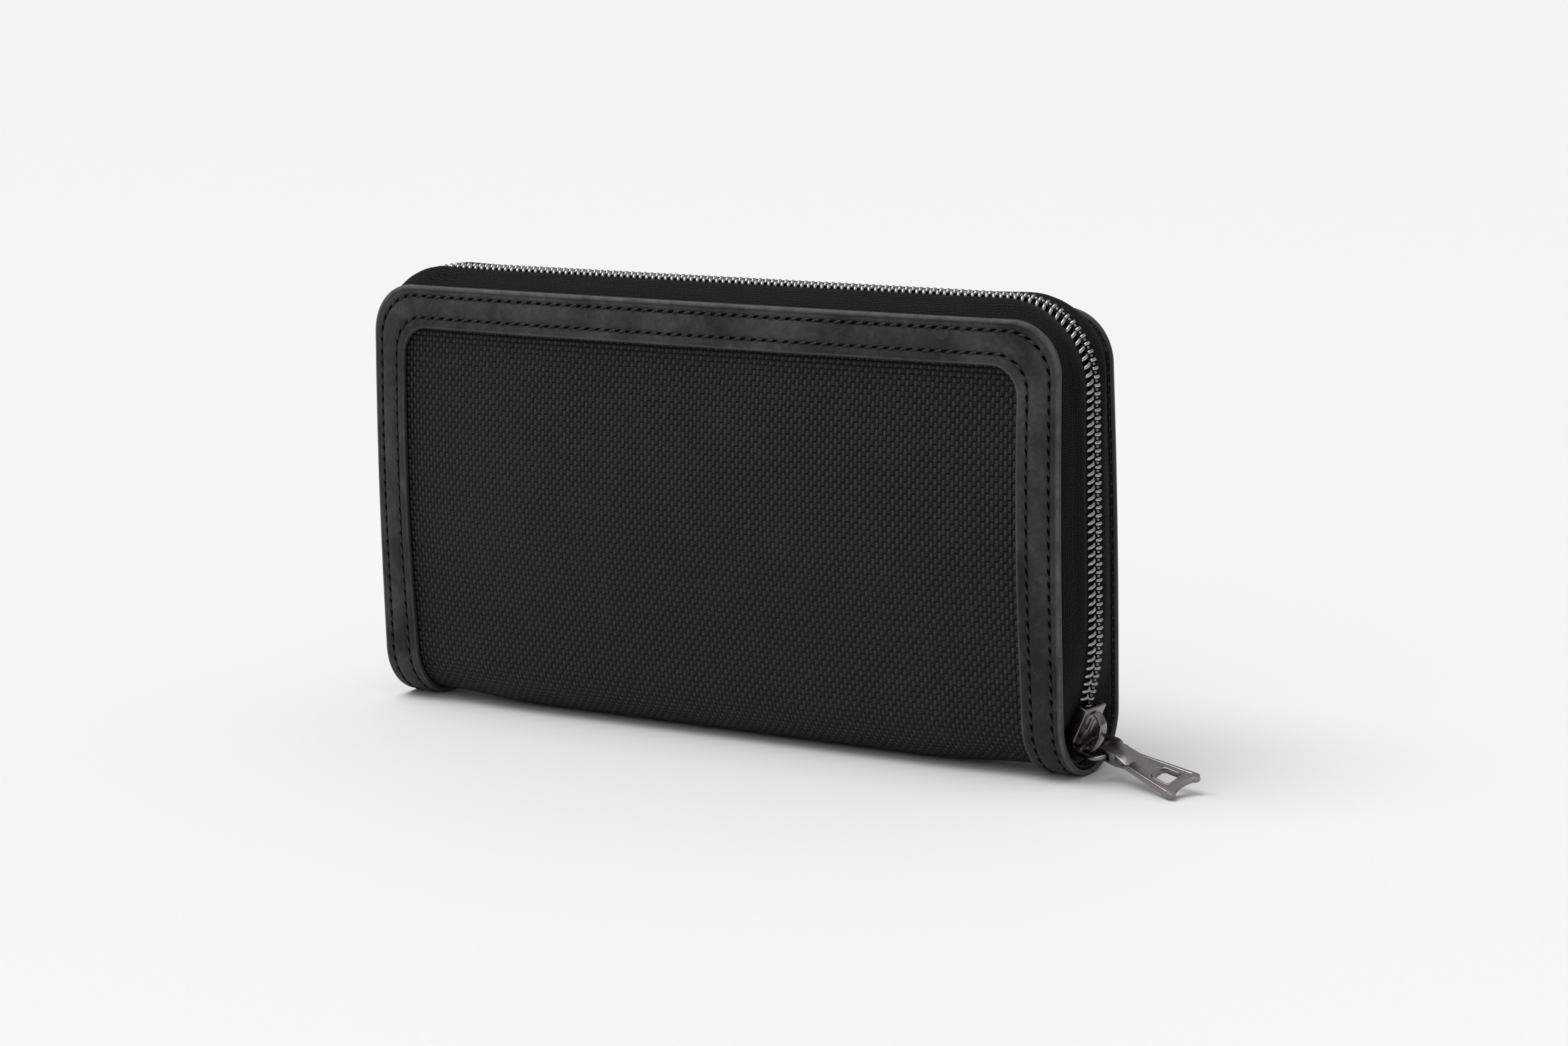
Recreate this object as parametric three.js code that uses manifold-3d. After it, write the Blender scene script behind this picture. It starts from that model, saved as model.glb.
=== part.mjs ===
// A zip-around travel document organizer that stands on its spine.
// Millimetres, +X along the width, -Y towards the front cover, +Z up.
// The origin is the middle of the spine, on the surface that the organizer stands on.
import * as THREE from "three";
import { mergeVertices } from "three/addons/utils/BufferGeometryUtils.js";
import Module from "manifold-3d";

const wasm = await Module();
wasm.setup();

// ---- Driving dimensions ----
const width = 195; // leather edge to leather edge
const height = 105; // to the top edge of the leather
const spineRadius = 13.5; // of the rounded bottom, which is half of the thickness
const topHalfThickness = 12; // at the top edge of the leather
const foldAngle = THREE.MathUtils.degToRad(45); // where the covers part from the spine
const restHalfWidth = 3; // of the flat on which the spine stands

const trimWidth = 10.2; // leather frame
const trimOuterRadius = 12;
const trimInnerRadius = 7;

const panelBulge = 5; // of the middle of each cover
const topEdgeBulge = 1.8; // of the middle of the top edge
const sideBow = 0.9; // of both sides, halfway up
const spineBelly = 1.4; // of the cloth between the leather ends of the spine
const fullestPlace = 0.55; // share of the way from the spine to the top edge

// Layers of a cover, as depths below the leather's outer face.
const layers = {
  leather: [0, 1.1],
  cloth: [1.4, 2.2],
  board: [2.5, 3.3],
  lining: [3.6, 4.1],
  pocket1: [4.4, 4.9],
  pocket2: [5.2, 5.7],
  pocket3: [6.0, 6.5],
  pocket4: [6.8, 7.3],
};

// Zipper, whose ridge stands proud of the cover's edges.
const ridgeHalfWidth = width / 2 + 0.9;
const ridgeTop = height + 2.9;
const ridgeRadius = 19;
const tape = { thickness: 0.6, innerEdge: 0.55, edgeInset: 0.8, foot: 9.6 };
const coil = { height: 1.4, width: 2.2, lift: 0.25 };
const tuck = { radius: 52, start: 33 }; // the ridge curls inwards below this height

// Slider of the main zipper. Its frame has x across the chain, y towards the rear, z outwards.
const sliderRest = 12; // height of its middle
const sliderLength = 11;
const plate = { inner: [-2.4, -1.5], outer: [2.4, 3.3], lip: 0.9 };
const channelHalfWidth = 3.5;
const crown = { width: 2.7, height: 3.7, thickness: 0.85, nose: -5.3, rear: 4.5 };
const wireRadius = 0.62;
const ring = { x: -0.5, y: -3.2, z: 4.7, length: 8.2, halfWidth: 4.4, power: 3.2 };
const ringTurn = { yaw: 18.1, dip: 2.8, roll: 18.6 }; // degrees, in the organizer's frame
const tab = { dip: 8.6, length: 23.2, thickness: 1.3, neckHalf: 2.25, endHalf: 4.9 };

// Leaf in the middle, a flat pocket with a zipper of its own.
const leaf = { halfWidth: 84, bottom: 6, top: 92, halfGap: 1, skin: 0.8, corner: 6, rim: 4 };
const leafZip = { halfLength: 68, height: 80, halfWindow: 4.5, sliderX: -58 };

const arcLength = spineRadius * (Math.PI / 2);
const topS = arcLength + height - spineRadius; // along the cover, from the spine's middle

// ---- Materials ----
const finish = (color, roughness, metalness = 0) =>
  new THREE.MeshStandardMaterial({ color, roughness, metalness });
const materials = {
  cloth: finish(0x1c1a1b, 0.72),
  leather: finish(0x2b2b2d, 0.6),
  board: finish(0x3a3733, 0.9),
  lining: finish(0x19191b, 0.8),
  tape: finish(0x161617, 0.85),
  coil: finish(0x8d8e92, 0.3, 0.9),
  gunmetal: finish(0x5b5856, 0.28, 1),
};

const group = new THREE.Group();
const place = (name, geometry, material, parent = group) => {
  const mesh = new THREE.Mesh(geometry, material);
  mesh.name = name;
  parent.add(mesh);
  return mesh;
};

// ---- Solids ----
// Only positions are kept, so that the vertices on the seams are shared.
function sealed(geometry) {
  const g = geometry.clone();
  g.deleteAttribute("normal");
  g.deleteAttribute("uv");
  return mergeVertices(g, 1e-4);
}

function signedVolume(geometry) {
  const p = geometry.attributes.position;
  const index = geometry.index.array;
  const [a, b, c] = [new THREE.Vector3(), new THREE.Vector3(), new THREE.Vector3()];
  let sum = 0;
  for (let i = 0; i < index.length; i += 3) {
    a.fromBufferAttribute(p, index[i]);
    b.fromBufferAttribute(p, index[i + 1]);
    c.fromBufferAttribute(p, index[i + 2]);
    sum += a.dot(b.cross(c)) / 6;
  }
  return sum;
}

function facingOut(geometry) {
  if (signedVolume(geometry) > 0) return geometry;
  const index = geometry.index.array;
  for (let i = 0; i < index.length; i += 3) {
    [index[i + 1], index[i + 2]] = [index[i + 2], index[i + 1]];
  }
  return geometry;
}

// A box of cells whose corners are placed by at(across, along, depth), each from 0 to 1.
function formed(across, along, at) {
  const g = sealed(new THREE.BoxGeometry(1, 1, 1, across, along, 1));
  const p = g.attributes.position;
  for (let i = 0; i < p.count; i++) {
    p.setXYZ(i, ...at(p.getX(i) + 0.5, p.getY(i) + 0.5, p.getZ(i) + 0.5));
  }
  return facingOut(g);
}

function toSolid(geometry) {
  const g = sealed(geometry);
  return new wasm.Manifold(
    new wasm.Mesh({
      numProp: 3,
      vertProperties: g.attributes.position.array,
      triVerts: new Uint32Array(g.index.array),
    }),
  );
}

function toGeometry(solid) {
  const m = solid.getMesh();
  const positions = new Float32Array(m.numVert * 3);
  for (let i = 0; i < m.numVert; i++) {
    positions.set(m.vertProperties.subarray(i * m.numProp, i * m.numProp + 3), i * 3);
  }
  return new THREE.BufferGeometry()
    .setAttribute("position", new THREE.BufferAttribute(positions, 3))
    .setIndex(new THREE.BufferAttribute(m.triVerts, 1));
}

const joined = (first, ...rest) =>
  toGeometry(rest.reduce((sum, g) => sum.add(toSolid(g)), toSolid(first)));
const cut = (body, ...tools) =>
  toGeometry(tools.reduce((rest, g) => rest.subtract(toSolid(g)), toSolid(body)));

const block = ([x0, x1], [y0, y1], [z0, z1]) =>
  new THREE.BoxGeometry(x1 - x0, y1 - y0, z1 - z0).translate(
    (x0 + x1) / 2,
    (y0 + y1) / 2,
    (z0 + z1) / 2,
  );

const outline = (points) => new THREE.Shape(points.map(([x, y]) => new THREE.Vector2(x, y)));

const slab = (shape, [from, to], curveSegments = 6) =>
  new THREE.ExtrudeGeometry(shape, {
    depth: to - from,
    bevelEnabled: false,
    curveSegments,
  }).translate(0, 0, from);

// ---- The cover's surface ----
const smooth = (t) => {
  const c = THREE.MathUtils.clamp(t, 0, 1);
  return c * c * (3 - 2 * c);
};

// How far the leather's outer face stands out of the flat cover, at x and at s along it.
function bulgeAt(x, s) {
  const u = Math.abs(x) / (width / 2);
  const t = Math.abs(s) / topS;
  const rising = Math.sin((Math.PI / 2) * Math.min(1, t / fullestPlace)) ** 2;
  const falling = 1 - Math.max(0, (t - fullestPlace) / (1 - fullestPlace)) ** 3;
  const panel =
    t < fullestPlace ? panelBulge * rising : topEdgeBulge + (panelBulge - topEdgeBulge) * falling;
  const belly = smooth((width / 2 - trimWidth - 1 - Math.abs(x)) / 30) * (1 - smooth(t / 0.35));
  return panel * (1 - u ** 4) + spineBelly * belly;
}

// s runs from the spine's middle up the back cover, and below zero up the front cover.
function coverPoint(x, s, depth) {
  const side = s < 0 ? -1 : 1;
  const run = Math.abs(s);
  const out = bulgeAt(x, s) - depth;
  if (run < arcLength) {
    const turn = run / spineRadius;
    const y = (spineRadius + out) * Math.sin(turn);
    const z = spineRadius - (spineRadius + out) * Math.cos(turn);
    return [x, side * y, z];
  }
  const z = spineRadius + run - arcLength;
  const lean = (spineRadius - topHalfThickness) / (height - spineRadius);
  const bow = sideBow * Math.sin((Math.PI * (z - spineRadius)) / (height - spineRadius));
  return [x, side * (spineRadius - lean * (z - spineRadius) + bow + out), z];
}

// Half of a sheet's width at s, where its two top corners are rounded.
function halfWidthAt(s, halfWidth, top, radius) {
  const over = Math.abs(s) - (top - radius);
  return over <= 0 ? halfWidth : halfWidth - radius + Math.sqrt(radius ** 2 - over ** 2);
}

// Places along s, closer together in the bend at the spine and at the rounded corners.
function stations(from, to, radius) {
  const bend = [0, 18, 36, 54, 72, 90].map((a) => THREE.MathUtils.degToRad(a) * spineRadius);
  const straight = [1, 2, 3, 4, 5, 6].map(
    (i) => arcLength + ((to - radius - arcLength) * i) / 6,
  );
  const corner = [30, 50, 66, 80].map(
    (a) => to - radius + radius * Math.sin(THREE.MathUtils.degToRad(a)),
  );
  return [from, ...[...bend, ...straight, ...corner].filter((s) => s > from + 0.5), to];
}

const foldGap = 0.15;
const foldS = spineRadius * foldAngle;

// One layer of a cover, from the fold up to its top edge. side is -1 for the front.
function coverSheet(side, [outer, inner], inset, radius, across = 16) {
  const top = topS - inset;
  const rows = stations(foldS + foldGap, top, radius);
  return formed(across, rows.length - 1, (a, t, d) => {
    const s = rows[Math.round(t * (rows.length - 1))];
    const half = halfWidthAt(s, width / 2 - inset, top, radius);
    return coverPoint((2 * a - 1) * half, side * s, THREE.MathUtils.lerp(outer, inner, d));
  });
}

// The part of a layer that wraps the spine, between the two folds.
function spineSheet(fromX, toX, [outer, inner], across) {
  const restS = spineRadius * Math.asin(restHalfWidth / spineRadius);
  const half = [restS, spineRadius * THREE.MathUtils.degToRad(29), foldS - foldGap];
  const rows = [...half.map((s) => -s).reverse(), ...half];
  return formed(across, rows.length - 1, (a, t, d) => {
    const s = rows[Math.round(t * (rows.length - 1))];
    const [x, y, z] = coverPoint(
      THREE.MathUtils.lerp(fromX, toX, a),
      s,
      THREE.MathUtils.lerp(outer, inner, d),
    );
    const lowest = THREE.MathUtils.lerp(outer, inner, d) - bulgeAt(x, 0);
    return Math.abs(s) <= restS ? [x, y, lowest] : [x, y, z];
  });
}

// The leather frame of one cover: up one side, round the corners and down the other side.
function trimPath(t) {
  const from = foldS + foldGap;
  const edges = [
    { half: width / 2, top: topS, radius: trimOuterRadius },
    { half: width / 2 - trimWidth, top: topS - trimWidth, radius: trimInnerRadius },
  ];
  return edges.map(({ half, top, radius }) => {
    const mirrored = t > 0.5;
    const u = mirrored ? 2 - 2 * t : 2 * t; // 0 at the fold, 1 at the middle of the top edge
    const sign = mirrored ? -1 : 1;
    if (u < 0.45) return [sign * half, THREE.MathUtils.lerp(from, top - radius, u / 0.45)];
    if (u < 0.7) {
      const turn = ((u - 0.45) / 0.25) * (Math.PI / 2);
      return [
        sign * (half - radius + radius * Math.cos(turn)),
        top - radius + radius * Math.sin(turn),
      ];
    }
    return [sign * THREE.MathUtils.lerp(half - radius, 0, (u - 0.7) / 0.3), top];
  });
}

function trimFrame(side) {
  return formed(2, 80, (a, t, d) => {
    const [[x0, s0], [x1, s1]] = trimPath(t);
    const depth = THREE.MathUtils.lerp(...layers.leather, d);
    return coverPoint(
      THREE.MathUtils.lerp(x0, x1, a),
      side * THREE.MathUtils.lerp(s0, s1, a),
      depth,
    );
  });
}

const covers = [
  { word: "front", side: -1 },
  { word: "back", side: 1 },
];
for (const { word, side } of covers) {
  place(`${word}_leather_trim`, trimFrame(side), materials.leather);
  place(`${word}_cover_cloth`, coverSheet(side, layers.cloth, 0.4, 11.6), materials.cloth);
  place(`${word}_cover_board`, coverSheet(side, layers.board, 3, 9), materials.board);
  place(`${word}_lining`, coverSheet(side, layers.lining, 3, 9), materials.lining);
}
const clothHalf = width / 2 - 0.4;
const liningHalf = width / 2 - 3;
place(
  "spine_cloth",
  spineSheet(-clothHalf, clothHalf, layers.cloth, 16),
  materials.cloth,
);
place(
  "spine_lining",
  spineSheet(-liningHalf, liningHalf, layers.board, 16),
  materials.lining,
);
for (const [word, sign] of [["left", -1], ["right", 1]]) {
  place(
    `spine_leather_${word}`,
    spineSheet(sign * (width / 2 - trimWidth), (sign * width) / 2, layers.leather, 2),
    materials.leather,
  );
}

// ---- Inside pockets, which lie on the lining ----
// Rows of cells keep the same places along s, so that layers stay parallel.
function pocketSheet(side, [outer, inner], [x0, x1], [s0, s1]) {
  const across = Math.max(4, Math.round((x1 - x0) / 12));
  const along = Math.max(3, Math.round((s1 - s0) / 9));
  return formed(across, along, (a, t, d) =>
    coverPoint(
      THREE.MathUtils.lerp(x0, x1, a),
      side * THREE.MathUtils.lerp(s0, s1, t),
      THREE.MathUtils.lerp(outer, inner, d),
    ),
  );
}

const pocketFoot = arcLength + 3;
const pocketHalf = 86;
place(
  "card_panel",
  pocketSheet(-1, layers.pocket1, [-pocketHalf, pocketHalf], [pocketFoot, pocketFoot + 78]),
  materials.lining,
);
for (const [word, from] of [["left", -pocketHalf], ["right", 1]]) {
  for (const row of [1, 2, 3]) {
    place(
      `card_slot_${word}_${row}`,
      pocketSheet(
        -1,
        layers[`pocket${row + 1}`],
        [from, from + pocketHalf - 1],
        [pocketFoot, pocketFoot + 72 - 14 * row],
      ),
      materials.lining,
    );
  }
}
place(
  "boarding_pass_pocket",
  pocketSheet(1, layers.pocket1, [-pocketHalf, pocketHalf], [pocketFoot, pocketFoot + 72]),
  materials.lining,
);
place(
  "passport_pocket",
  pocketSheet(1, layers.pocket2, [-pocketHalf, 12], [pocketFoot, pocketFoot + 58]),
  materials.lining,
);
for (const row of [1, 2]) {
  place(
    `ticket_slot_${row}`,
    pocketSheet(
      1,
      layers[`pocket${row + 1}`],
      [14, pocketHalf],
      [pocketFoot, pocketFoot + 72 - 16 * row],
    ),
    materials.lining,
  );
}

// ---- Main zipper ----
// The ridge and the cover's edge, as matching places for u from 0 at the foot of the right side
// to 1 at the middle of the top. The left side mirrors them.
function ridgeAndEdge(u, foot) {
  const paths = [
    { half: ridgeHalfWidth, top: ridgeTop, radius: ridgeRadius },
    {
      half: width / 2 - tape.edgeInset,
      top: height - tape.edgeInset,
      radius: trimOuterRadius - tape.edgeInset,
    },
  ];
  return paths.map(({ half, top, radius }) => {
    if (u < 0.4) return [half, THREE.MathUtils.lerp(foot, top - radius, u / 0.4), 1, 0];
    if (u < 0.65) {
      const turn = ((u - 0.4) / 0.25) * (Math.PI / 2);
      const [c, s] = [Math.cos(turn), Math.sin(turn)];
      return [half - radius + radius * c, top - radius + radius * s, c, s];
    }
    return [THREE.MathUtils.lerp(half - radius, 0, (u - 0.65) / 0.35), top, 0, 1];
  });
}

function tuckAt(z) {
  const below = Math.max(0, tuck.start - z);
  return tuck.radius - Math.sqrt(tuck.radius ** 2 - below ** 2);
}

// Half of the inside thickness between the covers' cloth at height z, at the cover's edge.
function insideAt(x, z) {
  const depth = layers.cloth[1] + 0.25;
  if (z < spineRadius) {
    return Math.sqrt((spineRadius - depth) ** 2 - (spineRadius - z) ** 2);
  }
  const s = arcLength + z - spineRadius;
  return coverPoint(x, s, depth)[1];
}

const zipFeet = (foot) => (t) => {
  const left = t > 0.5;
  return { sign: left ? -1 : 1, u: left ? 2 - 2 * t : 2 * t, foot: left ? foot.left : foot.right };
};

// One zipper tape, from the cover's edge to the ridge. side is -1 for the front.
function zipperTape(side) {
  const at = zipFeet({ left: tape.foot, right: tape.foot });
  const shares = [0, 0.2, 0.4, 0.58, 1];
  const rise = [0, 0.42, 0.76, 0.97, 1];
  return formed(shares.length - 1, 72, (a, t, d) => {
    const { sign, u, foot } = at(t);
    const [[rx, rz, nx, nz], [ex, ez]] = ridgeAndEdge(u, foot);
    const k = Math.round(a * (shares.length - 1));
    const edgeY = insideAt(ex, ez);
    const y = THREE.MathUtils.lerp(edgeY, tape.innerEdge, shares[k]);
    const x = THREE.MathUtils.lerp(ex, rx - tuckAt(rz), rise[k]);
    const z = THREE.MathUtils.lerp(ez, rz, rise[k]);
    return [sign * (x - nx * tape.thickness * d), side * y, z - nz * tape.thickness * d];
  });
}

// One row of the coil, on the outer face of its tape.
function zipperCoil(side, foot) {
  const at = zipFeet(foot);
  return formed(1, 72, (a, t, d) => {
    const { sign, u, foot: f } = at(t);
    const [[rx, rz, nx, nz]] = ridgeAndEdge(u, f);
    const lift = coil.lift + coil.height * d;
    const y = tape.innerEdge + 0.05 + coil.width * a;
    return [sign * (rx - tuckAt(rz) + nx * lift), side * y, rz + nz * lift];
  });
}

for (const { word, side } of covers) {
  place(`${word}_zipper_tape`, zipperTape(side), materials.tape);
}
const coilFeet = { front: { left: 19, right: 19.5 }, back: { left: 19, right: 10 } };
for (const { word, side } of covers) {
  place(`${word}_zipper_coil`, zipperCoil(side, coilFeet[word]), materials.coil);
  const endStop = formed(1, 2, (a, t, d) => {
    const z = 15.6 + 2.8 * t;
    return [-(ridgeHalfWidth - tuckAt(z) + 0.25 + 1.6 * d), side * (0.6 + 2.3 * a), z];
  });
  place(`${word}_zipper_stop`, endStop, materials.gunmetal);
}

// ---- Main slider ----
const sliderTilt = Math.asin((tuck.start - sliderRest) / tuck.radius);
const sliderGroup = new THREE.Group();
sliderGroup.position.set(ridgeHalfWidth - tuckAt(sliderRest), 0, sliderRest);
sliderGroup.quaternion.setFromRotationMatrix(
  new THREE.Matrix4().makeBasis(
    new THREE.Vector3(0, 1, 0),
    new THREE.Vector3(Math.sin(sliderTilt), 0, Math.cos(sliderTilt)),
    new THREE.Vector3(Math.cos(sliderTilt), 0, -Math.sin(sliderTilt)),
  ),
);
group.add(sliderGroup);

const rear = sliderLength / 2;
const shield = (rearHalf, widest, noseHalf) =>
  outline([
    [-rearHalf, rear],
    [-rearHalf, 2.5],
    [-widest, -2.4],
    [-noseHalf, -rear],
    [noseHalf, -rear],
    [widest, -2.4],
    [rearHalf, 2.5],
    [rearHalf, rear],
  ]);
const channel = outline([
  [-channelHalfWidth, rear + 1],
  [-channelHalfWidth, 1],
  [-4.6, -rear - 1],
  [4.6, -rear - 1],
  [channelHalfWidth, 1],
  [channelHalfWidth, rear + 1],
]);
const lips = cut(
  slab(shield(4.6, 5.4, 3.6), [plate.lip, plate.outer[0] + 0.1]),
  slab(channel, [plate.lip - 1, plate.outer[0] + 1]),
);
place(
  "slider_body",
  joined(
    slab(shield(4.6, 5.4, 3.6), plate.outer),
    slab(shield(3.9, 4.3, 3.2), plate.inner),
    block([-0.25, 0.25], [-4.5, -2], [plate.inner[1] - 0.1, plate.outer[0] + 0.1]),
    lips,
  ),
  materials.gunmetal,
  sliderGroup,
);

// The crown is an arch along the outer plate, with the ring's wire under its nose end.
const foot = plate.outer[1] + 0.3;
const thick = crown.thickness;
const arch = new THREE.Shape();
arch.moveTo(crown.nose, foot);
arch.bezierCurveTo(crown.nose, foot + 2.4, -4.6, foot + 3.3, -2.6, foot + crown.height - 0.2);
arch.bezierCurveTo(-0.6, foot + crown.height + 0.2, 1.6, foot + crown.height, 2.6, foot + 3);
arch.bezierCurveTo(3.8, foot + 2.2, crown.rear, foot + 1, crown.rear, foot);
arch.lineTo(crown.rear - thick, foot);
arch.bezierCurveTo(crown.rear - thick, foot + 0.8, 3.2, foot + 1.6, 2.2, foot + 3 - thick);
arch.bezierCurveTo(
  1.4,
  foot + crown.height - thick,
  -0.6,
  foot + crown.height + 0.1 - thick,
  -2.5,
  foot + crown.height - 0.2 - thick,
);
arch.bezierCurveTo(-3.9, foot + 2.5, crown.nose + thick, foot + 1.8, crown.nose + thick, foot);
place(
  "slider_crown",
  slab(arch, [-crown.width / 2, crown.width / 2], 5)
    .rotateX(Math.PI / 2)
    .rotateZ(Math.PI / 2),
  materials.gunmetal,
  sliderGroup,
);
place(
  "slider_lock_spring",
  block([-0.5, 0.5], [-0.6, 2.6], [foot, foot + 0.4]),
  materials.gunmetal,
  sliderGroup,
);

// The ring and the tab hang outwards. In their frames x runs away from the slider, z upwards.
sliderGroup.updateMatrixWorld(true);
const ringGroup = new THREE.Group();
ringGroup.position.copy(sliderGroup.localToWorld(new THREE.Vector3(ring.x, ring.y, ring.z)));
ringGroup.rotation.set(
  THREE.MathUtils.degToRad(ringTurn.roll),
  THREE.MathUtils.degToRad(ringTurn.dip),
  THREE.MathUtils.degToRad(-ringTurn.yaw),
  "ZYX",
);
group.add(ringGroup);
const ringPoints = [];
for (let i = 0; i < 24; i++) {
  const turn = (i / 24) * 2 * Math.PI;
  const [c, s] = [Math.cos(turn), Math.sin(turn)];
  const reach = (Math.abs(c) ** ring.power + Math.abs(s) ** ring.power) ** (-1 / ring.power);
  ringPoints.push(
    new THREE.Vector3(
      (ring.length / 2) * (1 + reach * c),
      ring.halfWidth * reach * s,
      0,
    ),
  );
}
place(
  "pull_ring",
  new THREE.TubeGeometry(new THREE.CatmullRomCurve3(ringPoints, true), 40, wireRadius, 8, true),
  materials.gunmetal,
  ringGroup,
);

const tabGroup = new THREE.Group();
tabGroup.position.set(ring.length, 0, 0);
tabGroup.rotation.y = THREE.MathUtils.degToRad(tab.dip);
ringGroup.add(tabGroup);
const tabShape = new THREE.Shape();
const end = tab.length;
tabShape.moveTo(1.6, -tab.neckHalf);
tabShape.lineTo(4, -tab.neckHalf - 0.1);
tabShape.lineTo(end - 1.2, -tab.endHalf);
tabShape.quadraticCurveTo(end, -tab.endHalf - 0.1, end, -tab.endHalf + 1);
tabShape.quadraticCurveTo(end, -tab.endHalf + 1.7, end - 0.8, -tab.endHalf + 2);
tabShape.quadraticCurveTo(end - 2.2, 0, end - 0.8, tab.endHalf - 2);
tabShape.quadraticCurveTo(end, tab.endHalf - 1.7, end, tab.endHalf - 1);
tabShape.quadraticCurveTo(end, tab.endHalf + 0.1, end - 1.2, tab.endHalf);
tabShape.lineTo(4, tab.neckHalf + 0.1);
tabShape.lineTo(1.6, tab.neckHalf);
const tabHole = outline([
  [14.4, -1.3],
  [15, -1.9],
  [18.9, -2.2],
  [19.6, -1.6],
  [19.6, 1.6],
  [18.9, 2.2],
  [15, 1.9],
  [14.4, 1.3],
]);
tabShape.holes.push(tabHole);
const pullTab = cut(
  joined(
    slab(tabShape, [-tab.thickness / 2, tab.thickness / 2], 4),
    block([-1.9, 3.2], [-tab.neckHalf, tab.neckHalf], [-1.7, 1.7]),
  ),
  block([-1.1, 1.1], [-tab.neckHalf - 1, tab.neckHalf + 1], [-1, 1]),
);
place("pull_tab", pullTab, materials.gunmetal, tabGroup);

// ---- Leaf ----
// Its panels lie in the x-z plane. upright() stands a slab between two depths in y.
const leafGroup = new THREE.Group();
group.add(leafGroup);
const upright = (shape, [from, to], curveSegments = 5) =>
  slab(shape, [-to, -from], curveSegments).rotateX(Math.PI / 2);

function leafShape(inset) {
  const x = leaf.halfWidth - inset;
  const [z0, z1] = [leaf.bottom + inset, leaf.top - inset];
  const r = Math.max(1, leaf.corner - inset);
  const shape = new THREE.Shape();
  shape.moveTo(-x, z0);
  shape.lineTo(x, z0);
  shape.lineTo(x, z1 - r);
  shape.quadraticCurveTo(x, z1, x - r, z1);
  shape.lineTo(-x + r, z1);
  shape.quadraticCurveTo(-x, z1, -x, z1 - r);
  shape.closePath();
  return shape;
}

const rectangle = ([x0, x1], [z0, z1]) =>
  outline([
    [x0, z0],
    [x1, z0],
    [x1, z1],
    [x0, z1],
  ]);
const leafBack = [leaf.halfGap, leaf.halfGap + leaf.skin];
const leafFront = [-leafBack[1], -leafBack[0]];
place("leaf_back_panel", upright(leafShape(0), leafBack), materials.lining, leafGroup);

const windowZ = [leafZip.height - leafZip.halfWindow, leafZip.height + leafZip.halfWindow];
const frontPanel = leafShape(0);
frontPanel.holes.push(rectangle([-leafZip.halfLength, leafZip.halfLength], windowZ));
place("leaf_front_panel", upright(frontPanel, leafFront), materials.lining, leafGroup);

const rim = leafShape(0.8);
rim.holes.push(leafShape(0.8 + leaf.rim));
place(
  "leaf_rim",
  upright(rim, [-leaf.halfGap + 0.3, leaf.halfGap - 0.3]),
  materials.lining,
  leafGroup,
);

const zipTapeZ = { lower: [windowZ[0] + 0.3, leafZip.height - 0.4] };
zipTapeZ.upper = [leafZip.height + 0.4, windowZ[1] - 0.3];
const zipX = [-leafZip.halfLength + 0.3, leafZip.halfLength - 0.3];
for (const word of ["lower", "upper"]) {
  place(
    `leaf_zipper_tape_${word}`,
    upright(rectangle(zipX, zipTapeZ[word]), leafFront),
    materials.tape,
    leafGroup,
  );
  const up = word === "upper" ? 1 : -1;
  const coilZ = [leafZip.height + up * 0.45, leafZip.height + up * 2.1].sort((a, b) => a - b);
  place(
    `leaf_zipper_coil_${word}`,
    upright(rectangle([-64, 64], coilZ), [leafFront[0] - 1.3, leafFront[0] - 0.15]),
    materials.coil,
    leafGroup,
  );
}
for (const [word, x] of [["left", -66.4], ["right", 66.4]]) {
  place(
    `leaf_zipper_stop_${word}`,
    upright(
      rectangle([x - 0.9, x + 0.9], [leafZip.height - 2, leafZip.height + 2]),
      [leafFront[0] - 1.3, leafFront[0] - 0.15],
    ),
    materials.gunmetal,
    leafGroup,
  );
}

// The leaf's slider bridges both coils, and its tab hangs from a lug.
const small = new THREE.Group();
small.position.set(leafZip.sliderX, leafFront[0] - 1.75, leafZip.height);
leafGroup.add(small);
place(
  "leaf_slider",
  joined(
    upright(rectangle([-4, 4], [-3.2, 3.2]), [-0.8, 0]),
    upright(rectangle([-1.4, 1.4], [-1.1, -0.5]), [-2.6, -0.7]),
    upright(rectangle([-1.4, 1.4], [0.5, 1.1]), [-2.6, -0.7]),
    upright(rectangle([-1.4, 1.4], [-1.1, 1.1]), [-2.6, -2.1]),
  ),
  materials.gunmetal,
  small,
);
const smallTab = new THREE.Shape();
smallTab.moveTo(-2.1, -14.6);
smallTab.lineTo(2.1, -14.6);
smallTab.lineTo(2.6, 0.35);
smallTab.lineTo(-2.6, 0.35);
smallTab.closePath();
smallTab.holes.push(rectangle([-1.75, 1.75], [-2.2, -0.37]));
place(
  "leaf_slider_tab",
  upright(smallTab, [-1.75, -1.15]),
  materials.gunmetal,
  small,
);

export default group;
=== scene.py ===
import math

import bmesh
import bpy
from mathutils import Matrix, Vector, noise


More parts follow.
